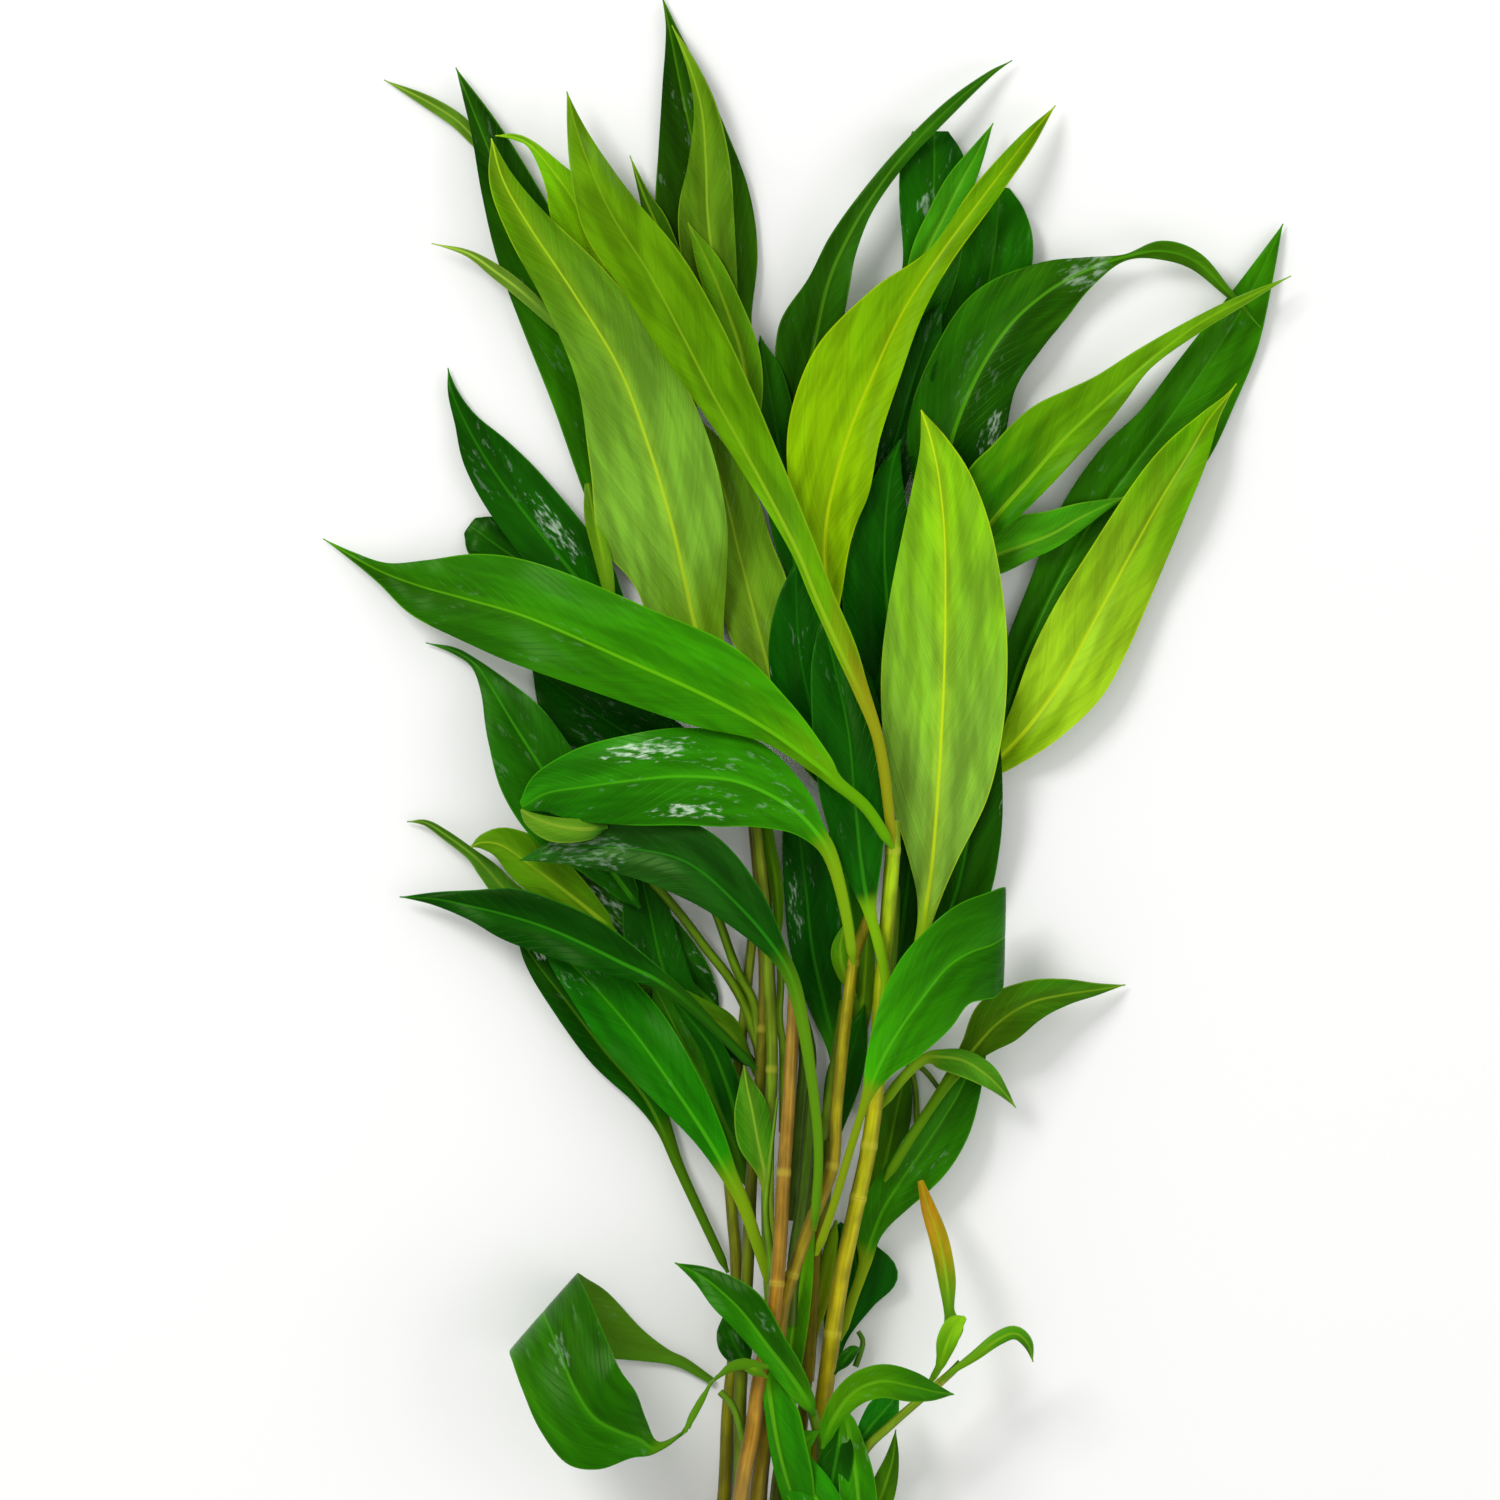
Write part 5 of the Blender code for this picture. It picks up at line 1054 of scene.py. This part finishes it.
    # Painted sheen: pale streaked patches drawn into the colour where the gloss shines.
    for at, across, length, width, amount in PAINTED_SHEENS.get(name, ()):
        far = n.math("POWER", n.math("MULTIPLY_ADD", share, 1 / length, -at / length), 2.0)
        wide = n.math("POWER", n.math("MULTIPLY_ADD", reach, 1 / width, -across / width), 2.0)
        patch = n.ramp(n.math("ADD", far, wide), 0.0, 1.0, 0.4, 0.0)
        painted_gleam = n.ramp(n.math("ADD", patch, strokes), 0.82, 1.06, 0.0, amount)
        colour = n.mix(n.math("MULTIPLY", painted_gleam, seen), colour, linear(PAINTED_SHEEN_COLOUR))
    height = n.math("MULTIPLY_ADD", vein, 0.9 if face == "under" else -0.6, n.math("MULTIPLY", streaks, 0.35))
    bump = n.add("ShaderNodeBump", None, Strength=0.5, Distance=0.00022, Height=height)
    n.surface(colour, rough, bump, GLOSS_LEVEL[face], GLOSS_TINT, COAT[face], COAT_ROUGHNESS)
    return material


def stem_material(name, seed, colours):
    """A living stem: colours along it, fine lengthwise streaks, painted shade on its flanks and faint scars
    at its rings.
    """
    foot, middle, top = colours.split()
    material, n = new_material(name)
    turn, along, share = n.attribute("place")
    ring, _, _ = n.attribute("form")
    drift = n.noise(n.vector(0.0, n.math("MULTIPLY", along, 0.05), seed), 1.0)
    drift = n.math("MULTIPLY_ADD", drift, 0.5, n.math("SUBTRACT", share, 0.25))
    colour = n.along_colours(drift, foot, middle, top, 0.5)
    streaks = n.vector(n.math("MULTIPLY", turn, 2.0), n.math("MULTIPLY", along, 0.04), seed)
    streaks = n.noise(streaks, 1.6, 3.0)
    blotch = n.vector(n.math("MULTIPLY", turn, 0.6), n.math("MULTIPLY", along, 0.12), seed + 5.0)
    blotch = n.noise(blotch, 1.0, 2.0)
    shade = n.math("MULTIPLY", n.ramp(streaks, 0.3, 0.7, 0.8, 1.15), n.ramp(blotch, 0.3, 0.7, 0.75, 1.2))
    # Painted shade: the stem is drawn darker on its flanks than along its top and underside, as a round stem
    # lit from above looks.
    shade = n.math("MULTIPLY", shade, n.ramp(n.math("ABSOLUTE", turn), 0.2, 1.0, 1.08, 0.62))
    colour = n.mix(1.0, colour, n.vector(shade, shade, shade), "MULTIPLY")
    colour = n.mix(n.ramp(ring, 0.1, 0.8, 0.0, 0.3), colour, linear(RING_COLOUR))
    colour = n.mix(n.ramp(ring, 0.88, 0.99, 0.0, 0.4), colour, linear(SCAR_COLOUR))
    bump = n.add("ShaderNodeBump", None, Strength=0.35, Distance=0.0002, Height=n.math("ADD", streaks, ring))
    n.surface(colour, STEM_ROUGHNESS, bump, STEM_GLOSS_LEVEL, STEM_GLOSS_TINT, STEM_COAT,
              STEM_COAT_ROUGHNESS)
    return material


def floor_material():
    """A pale floor with hardly visible clouds."""
    material, n = new_material("pale_floor")
    soft = n.noise(n.add("ShaderNodeTexCoord").outputs["Object"], 3.0)
    colour = n.mix(soft, linear("f4f4f2"), linear("f8f8f7"))
    shader = n.add("ShaderNodeBsdfPrincipled", None, Base_Color=colour)
    shader.inputs["Roughness"].default_value = FLOOR_ROUGHNESS
    n.add("ShaderNodeOutputMaterial", None, Surface=shader.outputs[0])
    return material


def add_floor():
    """A plain pale floor just under the bunch."""
    half = FLOOR_SIDE / 2
    corners = np.array([(-half, -half, -FLOOR_DROP), (half, -half, -FLOOR_DROP),
                        (half, half, -FLOOR_DROP), (-half, half, -FLOOR_DROP)])
    floor = mesh_object("floor", corners, [(0, 1, 2, 3)])
    floor.data.materials.append(floor_material())


def add_light(name, place, target, size, power):
    """A square soft light that faces a point."""
    light = bpy.data.lights.new(name, "AREA")
    light.shape = "SQUARE"
    light.size = size
    light.energy = power
    made = bpy.data.objects.new(name, light)
    made.location = place
    aim = np.array(target, float) - np.array(place, float)
    made.rotation_mode = "QUATERNION"
    made.rotation_quaternion = Vector(aim).to_track_quat("-Z", "Y")
    bpy.context.scene.collection.objects.link(made)


def add_camera(middle):
    """Straight above the middle of the square, far off, so that heights hardly shift places."""
    camera = bpy.data.cameras.new("camera")
    camera.sensor_width = CAMERA_SENSOR
    camera.lens = CAMERA_SENSOR * CAMERA_HEIGHT / (SQUARE * MM)
    camera.clip_end = 4 * CAMERA_HEIGHT
    made = bpy.data.objects.new("camera", camera)
    made.location = ((SQUARE / 2 - middle[0]) * MM, (SQUARE / 2 - middle[1]) * MM, CAMERA_HEIGHT)
    bpy.context.scene.collection.objects.link(made)
    bpy.context.scene.camera = made


def add_surroundings():
    """An even white world, the lights and plain colours."""
    world = bpy.data.worlds.new("soft_white")
    world.use_nodes = True
    world.node_tree.nodes["Background"].inputs["Color"].default_value = (1, 1, 1, 1)
    world.node_tree.nodes["Background"].inputs["Strength"].default_value = WORLD_STRENGTH
    bpy.context.scene.world = world
    bpy.context.scene.view_settings.view_transform = "Standard"
    for name, place, size, power in LIGHTS:
        add_light(name, place, (0, 0, 0), size, power)


def main():
    heights, middle = laid_heights()
    body = next(iter(frame["bodies"]))
    extras = [(piece, host) for host, pieces in BEHIND.items() for piece in pieces]
    for seed, (piece, host) in enumerate([(piece, None) for piece in PIECES] + extras):
        kind, name, look, route, form = whole(piece)
        if kind == "stem":
            colours, rings = look
            made = stem_piece(name, route, form, heights[name], middle, rings)
            made.data.materials.append(stem_material(name, seed * SEED_STEP, colours))
        else:
            face = "under" if name in UNDER_SHOWS else "upper"
            made = leaf_piece(kind, name, route, form, heights[name], middle, face)
            made.data.materials.append(leaf_material(name, seed * SEED_STEP, face, *look))
        if host is None:
            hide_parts(name)
        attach(made, body)
    add_floor()
    add_surroundings()
    add_camera(middle)


main()
